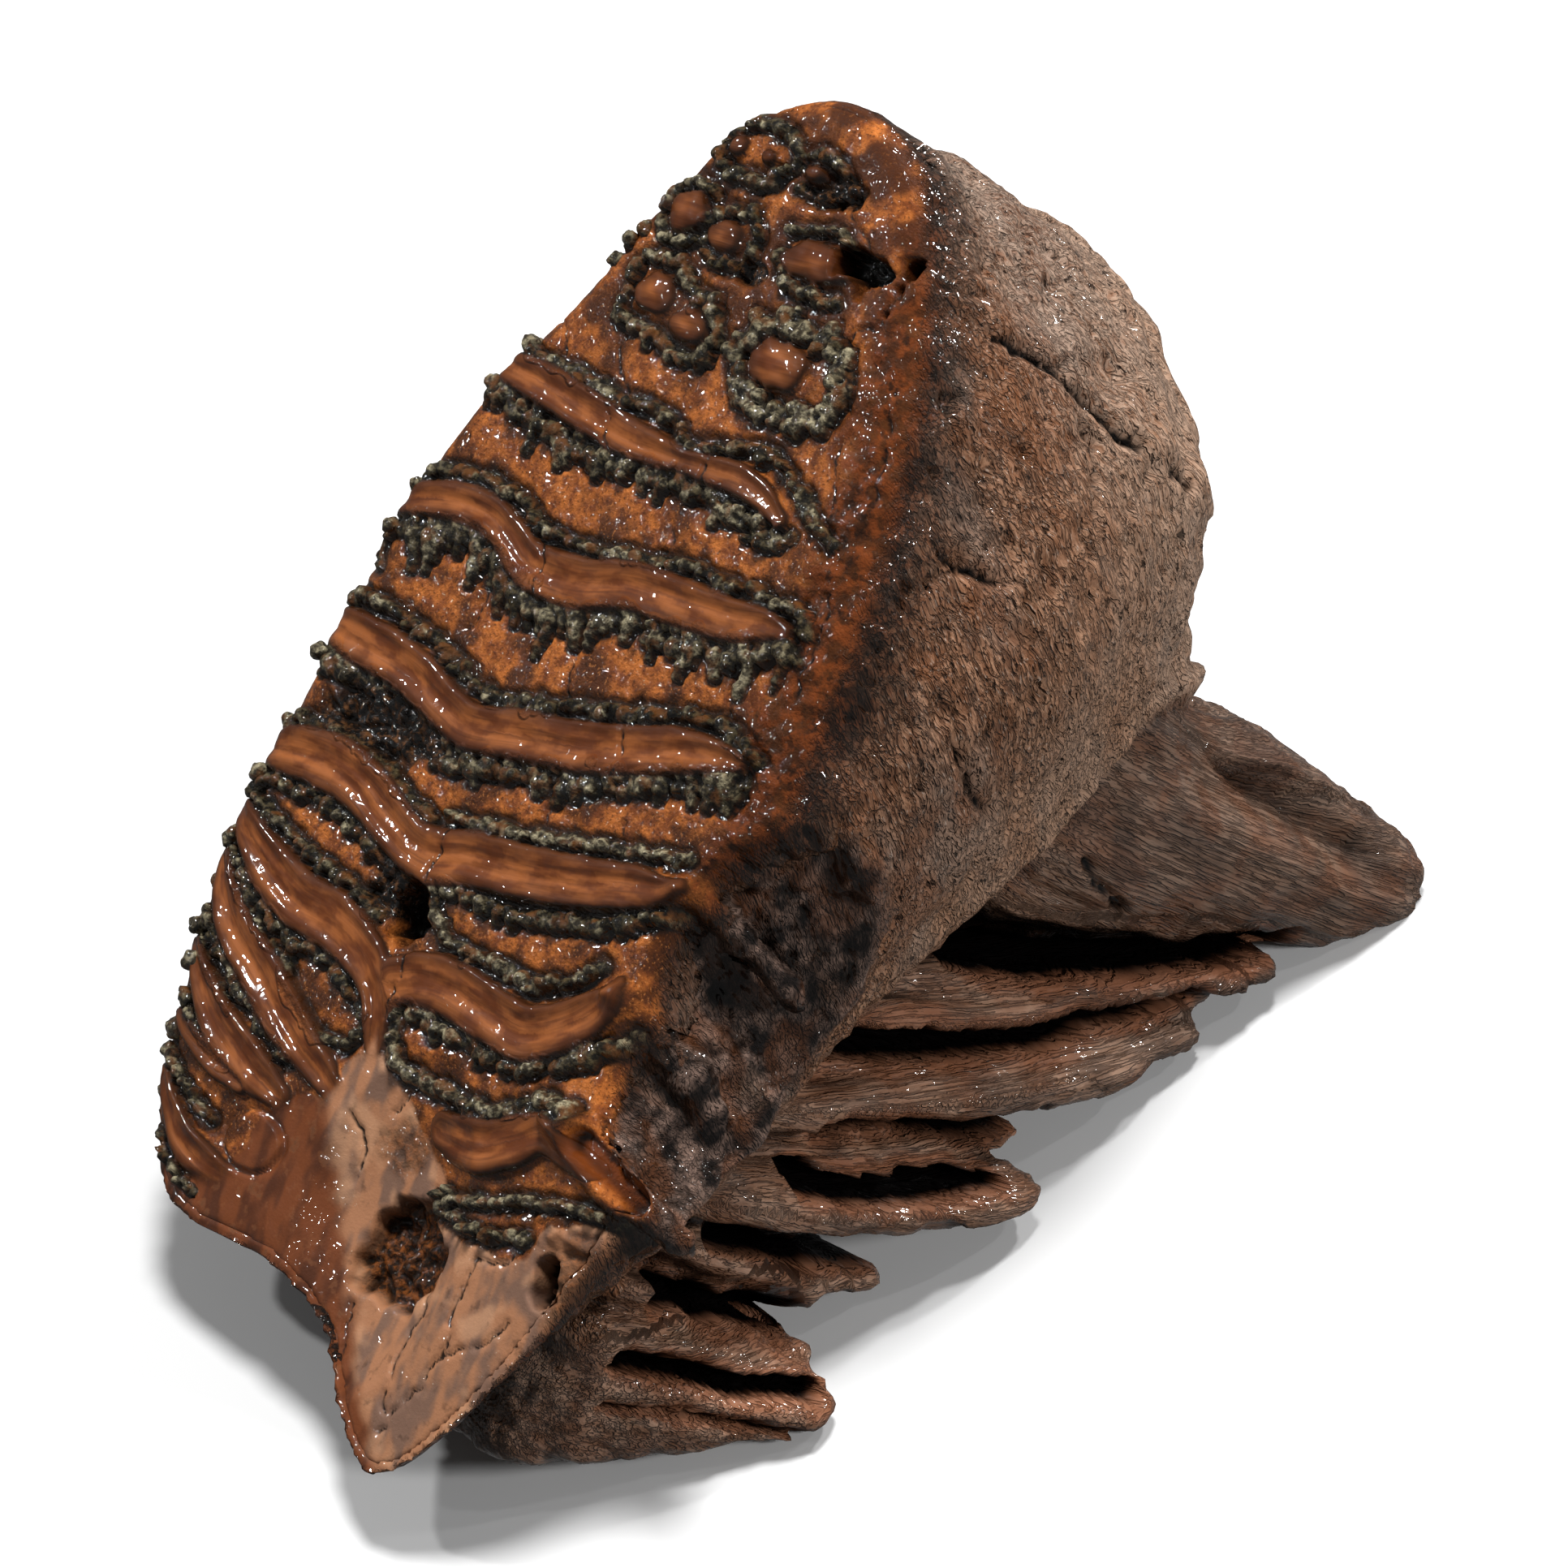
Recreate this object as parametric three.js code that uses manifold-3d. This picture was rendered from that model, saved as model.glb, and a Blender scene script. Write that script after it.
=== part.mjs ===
// Fossil mammoth molar, one solid: a high crown of upright plates worn to a sloping
// chewing face, and a fan of thin roots that sweep back under it.
//
// It is drawn in the tooth's own frame, in millimetres: X runs back along the jaw, Y away
// from the cheek side, Z up from the roots. The last lines lay it down in its rest pose,
// on the ends of its roots.
import * as THREE from 'three';
import { mergeVertices } from 'three/addons/utils/BufferGeometryUtils.js';
import Module from 'manifold-3d';

// ---------------------------------------------------------------- driving dimensions
const CHEWING_SLOPE = 36; // degrees that the chewing face climbs from its worn front tip
const FRONT_TIP_Y = -20; // the front tip lies off the middle, towards the cheek
const NECK_Z = 18; // level of the crown's lower edge
const NECK_RISE = 22; // length over which the lower edge climbs behind the front tip
const NECK_STRETCH = 1.2; // the neck reaches further back than the chewing face does
const NECK_PINCH = 0.86; // and narrows to this share of the face's width at the rear
const REAR_TUCK = 15; // how far the rear wall comes forward again at the neck
const REAR_DROP = 12; // and how far it reaches below the rest of the neck
const SIDE_BULGE = 6; // the cement swells this far past the chewing face's edge
const REAR_BULGE = 22;
const CHEEK_ROLL = 4.5; // how far the polished edge on the cheek side rolls down
const FAR_ROLL = 1.2;
const DENTINE_PROUD = 2.6; // a plate's dentine stands this high over the cement
const ENAMEL_PROUD = 1.7;
const ENAMEL_WIDTH = 3.4;
const ENAMEL_WAVE = 0.8; // and its width wavers by this much
const PLATE_STEP = 7; // length of a plate between two of its sections
const FIN_THICKNESS = 8.5; // one root fin, at its root
const REST_PITCH = -10.5; // degrees: the rear end is propped up by the longest roots
const REST_ROLL = -12; // degrees: the cheek side stands higher than the far side
const FOOT_DEPTH = 12.3; // the ground lies this far under the front tip

const ROUND = 2 * Math.PI;
const slope = THREE.MathUtils.degToRad(CHEWING_SLOPE);
const UP_FACE = new THREE.Vector3(-Math.sin(slope), 0, Math.cos(slope));
const ACROSS = new THREE.Vector3(0, 1, 0);

const wasm = await Module();
wasm.setup();

// A closed geometry as a solid that can be joined and cut.
function solidOf(geometry) {
  const bare = geometry.clone();
  bare.deleteAttribute('normal');
  bare.deleteAttribute('uv');
  const merged = mergeVertices(bare, 1e-3);
  return new wasm.Manifold(new wasm.Mesh({
    numProp: 3,
    vertProperties: new Float32Array(merged.attributes.position.array),
    triVerts: new Uint32Array(merged.index.array),
  }));
}

function geometryOf(solid) {
  const mesh = solid.getMesh();
  const geometry = new THREE.BufferGeometry();
  geometry.setAttribute('position', new THREE.BufferAttribute(mesh.vertProperties, 3));
  geometry.setIndex(new THREE.BufferAttribute(mesh.triVerts, 1));
  geometry.computeVertexNormals();
  return geometry;
}

// A point on the chewing face: t across it towards the cheek, s up it from the front tip,
// h out of it.
function onFace(t, s, h = 0) {
  const x = s * Math.cos(slope) - h * Math.sin(slope);
  const z = s * Math.sin(slope) + h * Math.cos(slope);
  return new THREE.Vector3(x, FRONT_TIP_Y - t, z);
}

function smoothLine(points, closed = false) {
  const places = points.map(([t, s]) => new THREE.Vector3(t, s, 0));
  return new THREE.CatmullRomCurve3(places, closed, 'centripetal');
}

// A sphere whose vertices are moved: place(down, round) gets 0 to 1 from pole to pole and
// 0 to 1 around.
function shapedSphere(sides, rings, place) {
  const sphere = new THREE.SphereGeometry(1, sides, rings);
  sphere.deleteAttribute('normal');
  sphere.deleteAttribute('uv');
  const geometry = mergeVertices(sphere, 1e-4);
  const position = geometry.attributes.position;
  for (let i = 0; i < position.count; i += 1) {
    const down = Math.acos(THREE.MathUtils.clamp(position.getY(i), -1, 1)) / Math.PI;
    const round = Math.atan2(position.getZ(i), -position.getX(i)) / ROUND;
    const spot = place(Math.round(down * rings) / rings, (round + 1) % 1);
    position.setXYZ(i, spot.x, spot.y, spot.z);
  }
  return geometry;
}

// A tapered bar along a curve. Its section is a ring of [out, aside] points: out is measured
// along a fixed keel, aside across it, and sizes(down) scales both. A notch draws back the
// middle of the end between its two edges.
function bar(curve, keel, section, sizes, rings, notch = 0) {
  const geometry = shapedSphere(section.length, rings, (down, round) => {
    const [out, aside] = section[Math.round(round * section.length) % section.length];
    const blunt = Math.sqrt(Math.max(0, 1 - Math.abs(2 * down - 1) ** 7));
    const reach = THREE.MathUtils.clamp((down * rings - 0.5) / (rings - 1), 0, 1);
    const along = reach * (1 - notch * reach * (1 - (out * blunt) ** 2));
    const side = new THREE.Vector3().crossVectors(keel, curve.getTangentAt(along)).normalize();
    const [outSize, asideSize] = sizes(down);
    return curve.getPointAt(along)
      .addScaledVector(keel, out * blunt * outSize)
      .addScaledVector(side, aside * blunt * asideSize);
  });
  return solidOf(geometry);
}

// A rounded section; a low squareness gives a flatter one with blunt edges.
function roundedSection(sides, squareness) {
  const squared = (value) => Math.sign(value) * Math.abs(value) ** squareness;
  return Array.from({ length: sides }, (_, i) => {
    const angle = (i + 0.5) / sides * ROUND;
    return [squared(Math.cos(angle)), squared(Math.sin(angle))];
  });
}

function ball(centre, radii, sides = 12, rings = 8) {
  const geometry = new THREE.SphereGeometry(1, sides, rings).scale(...radii);
  return solidOf(geometry.rotateY(-slope).translate(centre.x, centre.y, centre.z));
}

// ---------------------------------------------------------------- crown
// Edge of the chewing face, as (t, s), from the front tip up the cheek side, round the
// unworn top and back down the far side.
const FACE_EDGE = [
  [0, 0], [11, 9], [19, 21], [25, 35], [28, 55], [28, 82], [30, 108], [31, 132], [30, 152],
  [27, 172], [21, 190], [10, 205], [-5, 210], [-20, 204], [-30, 191], [-39, 174],
  [-51, 154], [-59, 133], [-63, 112], [-66, 94], [-68, 76], [-66, 58], [-63, 43],
  [-60, 31], [-54, 24], [-40, 22.5], [-29, 21], [-19, 15], [-9, 5.5],
];
const FACE_CENTRE = { t: -20, s: 100 };
const FACE_REACH = 170; // x of the face's rear end
const FRONT_WALL = 1; // the crown is this thin at its worn front tip
const CORE = new THREE.Vector3(100, -4, 6); // middle of the crown's underside
const WALL_LOWNESS = 0.75; // above 1 the wall swells most near the neck, below 1 near the face
const REAR_LOWNESS = 1.15;
const FACE_RINGS = 4;
const WALL_RINGS = 9;
const UNDER_RINGS = 3;
const CROWN_RINGS = FACE_RINGS + WALL_RINGS + UNDER_RINGS;

// Where the crown's wall ends under a point of the face's edge. The neck rises steeply
// behind the front tip, runs level, and drops again where the rear wall tucks under.
function neckPoint(face) {
  const rear = THREE.MathUtils.smoothstep(face.x, 130, FACE_REACH);
  const x = face.x * NECK_STRETCH + 3 - REAR_TUCK * rear;
  const z = NECK_Z - (NECK_Z + FRONT_WALL) * Math.exp(-x / NECK_RISE) - REAR_DROP * rear;
  const pinch = THREE.MathUtils.mapLinear(face.x, 0, FACE_REACH, 1, NECK_PINCH);
  return new THREE.Vector3(x, face.y * pinch, z);
}

function crown() {
  const edge = smoothLine(FACE_EDGE, true);
  const middle = onFace(FACE_CENTRE.t, FACE_CENTRE.s);
  return solidOf(shapedSphere(42, CROWN_RINGS, (down, round) => {
    const rim = edge.getPointAt(round);
    const ring = Math.round(down * CROWN_RINGS);
    const atCheek = THREE.MathUtils.smoothstep(rim.x, -10, 25);
    const roll = THREE.MathUtils.lerp(FAR_ROLL, CHEEK_ROLL, atCheek) * Math.min(1, rim.y / 30);
    if (ring < FACE_RINGS) {
      return middle.clone().lerp(onFace(rim.x, rim.y), ring / (FACE_RINGS - 0.5));
    }
    const face = onFace(rim.x, rim.y, -roll);
    const neck = neckPoint(face);
    const wall = Math.min(1, (ring - FACE_RINGS) / WALL_RINGS);
    const outward = new THREE.Vector3(face.x - FACE_REACH / 2, face.y, 0).normalize();
    const rear = Math.max(0, outward.x) ** 2;
    const bulge = THREE.MathUtils.lerp(SIDE_BULGE, REAR_BULGE, rear)
      * THREE.MathUtils.smoothstep(face.x, 5, 40);
    const lowness = THREE.MathUtils.lerp(WALL_LOWNESS, REAR_LOWNESS, rear);
    const spot = face.clone().lerp(neck, wall);
    spot.addScaledVector(outward, bulge * Math.sin(Math.PI * wall ** lowness));
    if (ring <= FACE_RINGS + WALL_RINGS) return spot;
    const under = (ring - FACE_RINGS - WALL_RINGS) / UNDER_RINGS;
    const z = THREE.MathUtils.lerp(neck.z, CORE.z, Math.sqrt(under));
    return neck.lerp(CORE, under).setZ(z);
  }));
}

// ---------------------------------------------------------------- plates on the worn face
// Each plate is a band of dentine, as (t, s) along its middle, with its half width, and a
// wall of enamel round it.
const PLATES = [
  { half: 3.2, line: [[-48, 158.5], [-30, 155.5], [-10, 152.5], [3, 152], [12, 148.5]] },
  { half: 3.8, line: [[-60, 134.5], [-48, 137], [-38, 136], [-29, 131.3], [-10, 133],
    [8, 132.8], [19.5, 133.5]] },
  { half: 4, line: [[-62, 114], [-48, 112], [-35, 107.6], [-29, 106.3], [-10, 108.5],
    [4, 111.5], [19, 114]] },
  { half: 4.3, line: [[-65, 94], [-50, 93.5], [-38, 89], [-29, 86.5], [-15, 89], [2, 91],
    [17.5, 94.5]] },
  { half: 4.3, line: [[-64, 81], [-59, 77], [-48, 73.3], [-36, 70.5], [-28, 63]] },
  { half: 4.2, line: [[-25, 69], [-14, 69], [-2, 67.3], [8, 71.5], [13, 78]] },
  { half: 4.2, line: [[-65, 72], [-59, 65.5], [-46, 57.6], [-34, 51.5]] },
  { half: 4.2, line: [[-9, 50], [0, 50], [9, 55.5], [15, 53.5]] },
  { half: 3.8, line: [[-62, 57], [-55, 51.5], [-45, 47]] },
  { half: 3.4, line: [[-58, 38], [-54, 34], [-48, 32]] },
];

// Section of a plate above the cement, [height in mm, share of its half width]: a wall of
// enamel on each side, and the band of dentine standing higher between them.
const PLATE_SECTION = [
  [DENTINE_PROUD, 0.42], [ENAMEL_PROUD - 0.3, 0.58], [ENAMEL_PROUD, 0.88], [-1.5, 1],
  [-1.5, -1], [ENAMEL_PROUD, -0.88], [ENAMEL_PROUD - 0.3, -0.58], [DENTINE_PROUD, -0.42],
];

function plate({ half, line }) {
  const places = smoothLine(line).getPoints(30).map(({ x, y }) => onFace(x, y));
  const path = new THREE.CatmullRomCurve3(places, false, 'centripetal');
  const rings = Math.max(7, Math.round(path.getLength() / PLATE_STEP));
  const wave = (down) => ENAMEL_WAVE * Math.sin(down * rings * 2.1);
  const width = (down) => half + ENAMEL_WIDTH + wave(down);
  return bar(path, UP_FACE, PLATE_SECTION, (down) => [1, width(down)], rings);
}

// Towards the top the plates are still separate columns, each worn to a ring of enamel
// round a button of dentine: (t, s) of its middle, radius across and radius up the face.
const COLUMNS = [
  [-24.5, 187.5, 5.2, 5], [-15, 185.2, 5, 4.6], [3, 185.5, 6.5, 3.6], [-25.5, 175.5, 7, 5],
  [-17, 171, 6, 5], [2.5, 169, 9.5, 6.6], [-17, 198.5, 6, 4], [-3, 197.5, 4.5, 3.2],
];

// Half of a column's section, (share of its radius, height in mm): button, groove, ring.
const COLUMN_PROFILE = [[0, -2], [1, -2], [0.95, 1.1], [0.65, 1.5], [0.5, 0.2], [0.34, 1.5], [0, 2]];

function column([t, s, across, up]) {
  const profile = COLUMN_PROFILE.map(([radius, height]) => new THREE.Vector2(radius, height));
  const turned = new THREE.LatheGeometry(profile, 10).scale(across, 1, up);
  turned.rotateX(Math.PI / 2).rotateZ(Math.PI / 2).rotateY(-slope);
  const seat = onFace(t, s);
  return solidOf(turned.translate(seat.x, seat.y, seat.z));
}

// ---------------------------------------------------------------- roots
// Each fin of root, front to back, as [x, cheek edge, far edge] where it leaves the crown
// and where it ends, with the gap left under it and its share of the full thickness.
const FINS = [
  { top: [31, -42, 32], end: [67, -49, 24], clear: 2, thick: 1.1 },
  { top: [38, -43, 34], end: [75, -43, 28], clear: 4, thick: 0.8 },
  { top: [45, -43, 34], end: [87, -45, 32], clear: 0, thick: 0.95 },
  { top: [53, -44, 34], end: [117, -54, 34], clear: 0, thick: 1.2 },
  { top: [61, -44, 34], end: [126, -43, 31], clear: 3, thick: 0.9 },
  { top: [69, -44, 34], end: [151, -48, 30], clear: 2, thick: 1.1 },
  { top: [78, -44, 34], end: [163, -49, 33], clear: 0, thick: 0.75 },
  { top: [88, -44, 34], end: [171, -44, 30], clear: 2, thick: 1.15 },
  { top: [98, -44, 34], end: [182, -50, 28], clear: 1, thick: 0.7 },
];
const FIN_TOP_Z = 26;
const FIN_COVER = 8; // the fins start at least this deep under the chewing face
const FIN_SECTION = roundedSection(12, 0.55);
const FIN_SAG = 10;

// Height of the ground, in the tooth's frame, under a point of the tooth.
const restPose = new THREE.Matrix4().makeRotationFromEuler(new THREE.Euler(
  THREE.MathUtils.degToRad(REST_ROLL), THREE.MathUtils.degToRad(REST_PITCH), 0));
const layDown = restPose.clone().invert();
const UP_WORLD = new THREE.Vector3(0, 0, 1).applyMatrix4(layDown);
const LEVEL_ACROSS = new THREE.Vector3(1, 0, 0).cross(UP_WORLD).negate().normalize();
function groundZ(x, y) {
  return (-FOOT_DEPTH - UP_WORLD.x * x - UP_WORLD.y * (y - FRONT_TIP_Y)) / UP_WORLD.z;
}

function sweptPath(top, end, sag) {
  const bend = top.clone().lerp(end, 0.5).setZ((top.z + end.z) / 2 - sag);
  return new THREE.QuadraticBezierCurve3(top, bend, end);
}

function fin({ top, end, clear, thick }) {
  const halfThick = (FIN_THICKNESS / 2) * thick;
  const middleOf = ([, cheek, far]) => (cheek + far) / 2;
  const halfOf = ([, cheek, far]) => (far - cheek) / 2;
  const topZ = Math.min(FIN_TOP_Z, top[0] * Math.tan(slope) - FIN_COVER);
  const endZ = groundZ(end[0], middleOf(end)) + halfThick / 2 + clear;
  const start = new THREE.Vector3(top[0], middleOf(top), topZ);
  const foot = new THREE.Vector3(end[0], middleOf(end), endZ);
  const sizes = (down) => [
    THREE.MathUtils.lerp(halfOf(top), halfOf(end), down),
    THREE.MathUtils.lerp(1.15, 1, down) * halfThick,
  ];
  return bar(sweptPath(start, foot, FIN_SAG), LEVEL_ACROSS, FIN_SECTION, sizes, 7, 0.25);
}

// Stout roots carry the two ends: one under the front tip, and under the last plates a
// pair that is fused above and joined by a web.
const STOUT_ROOTS = [
  { top: [22, -20, 2], end: [59, -24], half: [13, 37], deep: [13, 7], clear: 5, sag: 5 },
  { top: [144, -16, 28], end: [205, -37], half: [30, 12.5], deep: [34, 8], clear: -1, sag: 4 },
  { top: [145, 10, 28], end: [200, 22], half: [26, 13], deep: [34, 8.5], clear: -1, sag: 4 },
  { top: [146, 0, 24], end: [184, -6], half: [30, 22], deep: [30, 9], clear: 12, sag: 3 },
];
const STOUT_SECTION = roundedSection(14, 0.8);

function stoutRoot({ top, end, half, deep, clear, sag }) {
  const foot = new THREE.Vector3(end[0], end[1], groundZ(end[0], end[1]) + clear);
  const sizes = (down) => [half, deep].map(([above, below]) => THREE.MathUtils.lerp(above, below, down));
  const path = sweptPath(new THREE.Vector3(...top), foot, sag);
  return bar(path, LEVEL_ACROSS, STOUT_SECTION, sizes, 9);
}

// ---------------------------------------------------------------- wear, breaks and holes
// The front of the face is worn to a smooth hollow; behind it, on the cheek side, the
// cement has broken away and left the plates' ends standing in a recess.
function worn(tooth) {
  const cuts = [
    ball(onFace(-14, 34, 9), [40, 24, 12], 20, 12), // hollow worn at the front
    ball(onFace(-10, 31, 0), [8, 8.5, 6]), // rotted pit in the hollow
    ball(onFace(-29.5, 77.5, 0), [5.2, 3.6, 7]), // hole between two plates
    ball(onFace(22, 36, 0), [5.5, 4.6, 5]), // hole at the cheek edge
    ball(onFace(-45, 102.5, 0), [5.5, 15, 2.6]), // cement crumbled between plates
    ball(onFace(44, 70, 4), [27, 29, 34], 16, 10), // broken recess on the cheek side
    ball(onFace(44, 84, 4), [28, 28, 40], 16, 10),
  ];
  return cuts.reduce((whole, cut) => whole.subtract(cut), tooth);
}

// Ends of the plates that stand in the recess, as (t, s, h) from the face down the side.
const PLATE_ENDS = [
  [[10, 59, 0], [20, 54.5, -1], [29, 50, -5], [33, 46, -10]],
  [[13, 78, 0], [20, 76, -9], [27, 71, -20], [31, 65, -28]],
  [[17, 93, 0], [22, 91, -10], [28, 86, -24], [30, 80, -34]],
];

const PLATE_END_SECTION = roundedSection(8, 1);
const PLATE_END_RADII = [4.5, 3.6];

function plateEnd(points) {
  const path = new THREE.CatmullRomCurve3(points.map((place) => onFace(...place)));
  return bar(path, UP_FACE, PLATE_END_SECTION, () => PLATE_END_RADII, 6);
}

// ---------------------------------------------------------------- the whole tooth
let whole = worn(crown());
for (const shape of PLATES) whole = whole.add(plate(shape));
for (const shape of COLUMNS) whole = whole.add(column(shape));
for (const shape of PLATE_ENDS) whole = whole.add(plateEnd(shape));
for (const shape of FINS) whole = whole.add(fin(shape));
for (const shape of STOUT_ROOTS) whole = whole.add(stoutRoot(shape));

// The roots' ends are trimmed to the ground that the tooth rests on.
const frontTip = onFace(0, 0).applyMatrix4(restPose);
const ground = new THREE.BoxGeometry(400, 400, 100);
ground.translate(FACE_REACH / 2, 0, frontTip.z - FOOT_DEPTH - 50);
whole = whole.subtract(solidOf(ground.applyMatrix4(layDown)));

const tooth = new THREE.Mesh(geometryOf(whole), new THREE.MeshStandardMaterial({
  color: 0x6e4527, roughness: 0.45, metalness: 0,
}));
tooth.name = 'tooth';
tooth.rotation.setFromRotationMatrix(restPose);
const extent = new THREE.Box3().setFromObject(tooth, true);
const centre = extent.getCenter(new THREE.Vector3());
tooth.position.set(-centre.x, -centre.y, -extent.min.z);

const mammothTooth = new THREE.Group();
mammothTooth.add(tooth);
export default mammothTooth;
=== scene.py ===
import math

import bpy
import numpy as np
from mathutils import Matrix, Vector
from mathutils.bvhtree import BVHTree


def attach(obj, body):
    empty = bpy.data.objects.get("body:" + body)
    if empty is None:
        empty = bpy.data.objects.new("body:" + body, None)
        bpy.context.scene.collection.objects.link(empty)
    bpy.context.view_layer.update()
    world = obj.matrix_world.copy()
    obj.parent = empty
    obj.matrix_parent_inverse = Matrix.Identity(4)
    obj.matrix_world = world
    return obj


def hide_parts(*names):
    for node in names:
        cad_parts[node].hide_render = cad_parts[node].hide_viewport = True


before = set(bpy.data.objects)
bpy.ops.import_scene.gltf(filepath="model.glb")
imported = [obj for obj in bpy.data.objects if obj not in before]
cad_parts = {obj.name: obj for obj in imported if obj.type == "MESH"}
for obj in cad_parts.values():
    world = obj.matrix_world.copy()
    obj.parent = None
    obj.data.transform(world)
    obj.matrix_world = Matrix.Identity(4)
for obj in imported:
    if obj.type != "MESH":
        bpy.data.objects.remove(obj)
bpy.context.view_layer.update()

# ------------------------------------------------------------------ how the tooth lies
# A single fossil molar, loose, lying pitched forward and rolled over on the ends of its
# roots. It is drawn in its own frame, in millimetres: X back along the jaw, Y away from
# the cheek, Z up from the roots. The chewing face climbs 36 degrees from its front tip.
PITCH = math.radians(-10.5)
ROLL = math.radians(-12)
SEAT = np.array([-106.4965, -3.1233, 8.1418])
FACE_SLOPE = math.radians(36)
FRONT_TIP_Y = -20
FACE_MIDDLE = (-20, 100)

pitched = np.array([[math.cos(PITCH), 0, math.sin(PITCH)], [0, 1, 0],
                    [-math.sin(PITCH), 0, math.cos(PITCH)]])
rolled = np.array([[1, 0, 0], [0, math.cos(ROLL), -math.sin(ROLL)],
                   [0, math.sin(ROLL), math.cos(ROLL)]])
lying = rolled @ pitched


def laid_down(points):
    """Points of the tooth's own frame, in mm, as the frame has them, in metres."""
    return (np.asarray(points, float) @ lying.T + SEAT) / 1000


def stood_up(points):
    """The other way: from the frame, in metres, to the tooth's own frame, in mm."""
    return (np.asarray(points, float) * 1000 - SEAT) @ lying


# Places on the chewing face: t across it towards the cheek, s up it from the front tip, h
# out of it.
up_face = np.array([-math.sin(FACE_SLOPE), 0, math.cos(FACE_SLOPE)])


def on_face(t, s, h=0.0):
    t, s, h = np.broadcast_arrays(np.asarray(t, float), s, h)
    x = s * math.cos(FACE_SLOPE) - h * math.sin(FACE_SLOPE)
    z = s * math.sin(FACE_SLOPE) + h * math.cos(FACE_SLOPE)
    return np.stack([x, FRONT_TIP_Y - t, z], -1)


def face_place(points):
    """t, s and h of points of the tooth's own frame."""
    x, y, z = np.asarray(points, float).T
    s = x * math.cos(FACE_SLOPE) + z * math.sin(FACE_SLOPE)
    h = z * math.cos(FACE_SLOPE) - x * math.sin(FACE_SLOPE)
    return FRONT_TIP_Y - y, s, h


def ramp(value, low, high):
    """0 below low, 1 above high, and a smooth rise between them."""
    x = np.clip((value - low) / (high - low), 0, 1)
    return x * x * (3 - 2 * x)


def mix(a, b, share):
    return a + (b - a) * share


def smooth_line(points, step, closed=False):
    """Places every step along a smooth line through the given points."""
    points = np.array(points, float)
    if closed:
        points = np.vstack([points[-1:], points, points[:2]])
    else:
        points = np.vstack([2 * points[0] - points[1], points, 2 * points[-1] - points[-2]])
    spans = []
    for a, b, c, d in zip(points, points[1:], points[2:], points[3:]):
        k1 = max(np.linalg.norm(b - a), 1e-6) ** 0.5
        k2 = k1 + max(np.linalg.norm(c - b), 1e-6) ** 0.5
        k3 = k2 + max(np.linalg.norm(d - c), 1e-6) ** 0.5
        k = np.linspace(k1, k2, 16, endpoint=False)[:, None]
        ab = (k1 - k) / k1 * a + k / k1 * b
        bc = (k2 - k) / (k2 - k1) * b + (k - k1) / (k2 - k1) * c
        cd = (k3 - k) / (k3 - k2) * c + (k - k2) / (k3 - k2) * d
        abc = (k2 - k) / k2 * ab + k / k2 * bc
        bcd = (k3 - k) / (k3 - k1) * bc + (k - k1) / (k3 - k1) * cd
        spans.append((k2 - k) / (k2 - k1) * abc + (k - k1) / (k2 - k1) * bcd)
    line = np.vstack([*spans, points[-2:-1]])
    run = np.concatenate([[0], np.cumsum(np.linalg.norm(np.diff(line, axis=0), axis=1))])
    places = np.linspace(0, run[-1], max(3, round(run[-1] / step) + 1))
    if closed:
        places = places[:-1]
    return np.stack([np.interp(places, run, line[:, i]) for i in range(line.shape[1])], -1)


# Natural unevenness, the same on each run: a smooth random field between -1 and 1.
dice = np.random.default_rng(7)
scatter = dice.permutation(256)
leanings = dice.normal(size=(256, 3))
leanings /= np.linalg.norm(leanings, axis=1)[:, None]


def rough(points, size, seed=0):
    """Bumps about `size` long, one number or one for each axis, at each point."""
    where = np.asarray(points, float) / np.asarray(size, float) + seed * 17.31
    cell = np.floor(where).astype(int)
    inside = where - cell
    ease = inside ** 3 * (inside * (inside * 6 - 15) + 10)
    total = np.zeros(len(where))
    for corner in np.ndindex(2, 2, 2):
        a, b, c = (cell + corner).T & 255
        lean = leanings[scatter[(scatter[(scatter[a] + b) & 255] + c) & 255]]
        weight = np.prod(np.where(corner, ease, 1 - ease), axis=1)
        total += weight * np.einsum("ij,ij->i", lean, inside - corner)
    return total * 1.5


# ------------------------------------------------------------------ body of the tooth
# Crown and roots, mineralised brown. The crown is a tall block of plates wrapped in
# cement that swells below the chewing face and tucks in again at the neck. A stout root
# stands under the front tip, nine thin ones fan out behind it, and a fused pair ends the
# row. On the cheek side the cement has broken away and left plate ends standing.
FACE_EDGE = [
    (0, 0), (11, 9), (19, 21), (25, 35), (28, 55), (28, 82), (30, 108), (31, 132),
    (30, 152), (27, 172), (21, 190), (10, 205), (-5, 210), (-20, 204), (-30, 191),
    (-39, 174), (-51, 154), (-59, 133), (-63, 112), (-66, 94), (-68, 76), (-66, 58),
    (-63, 43), (-60, 31), (-54, 24), (-40, 22.5), (-29, 21), (-19, 15), (-9, 5.5),
]
FACE_REACH = 170
NECK_Z = 18
CORE = np.array([100.0, -4.0, 6.0])


def shell(rows, top, foot):
    """Closed surface from rings of points, row by row, between two end points."""
    rows = np.asarray(rows)
    count, around = rows.shape[:2]
    points = np.vstack([rows.reshape(-1, 3), [top], [foot]])
    index = np.arange(count * around).reshape(count, around)
    ahead = np.roll(index, -1, axis=1)
    quads = np.stack([index[:-1], index[1:], ahead[1:], ahead[:-1]], -1).reshape(-1, 4)
    last = len(points) - 2
    faces = [list(q) for q in quads]
    faces += [[last, a, b] for a, b in zip(index[0], ahead[0])]
    faces += [[last + 1, b, a] for a, b in zip(index[-1], ahead[-1])]
    return points, faces


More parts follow.
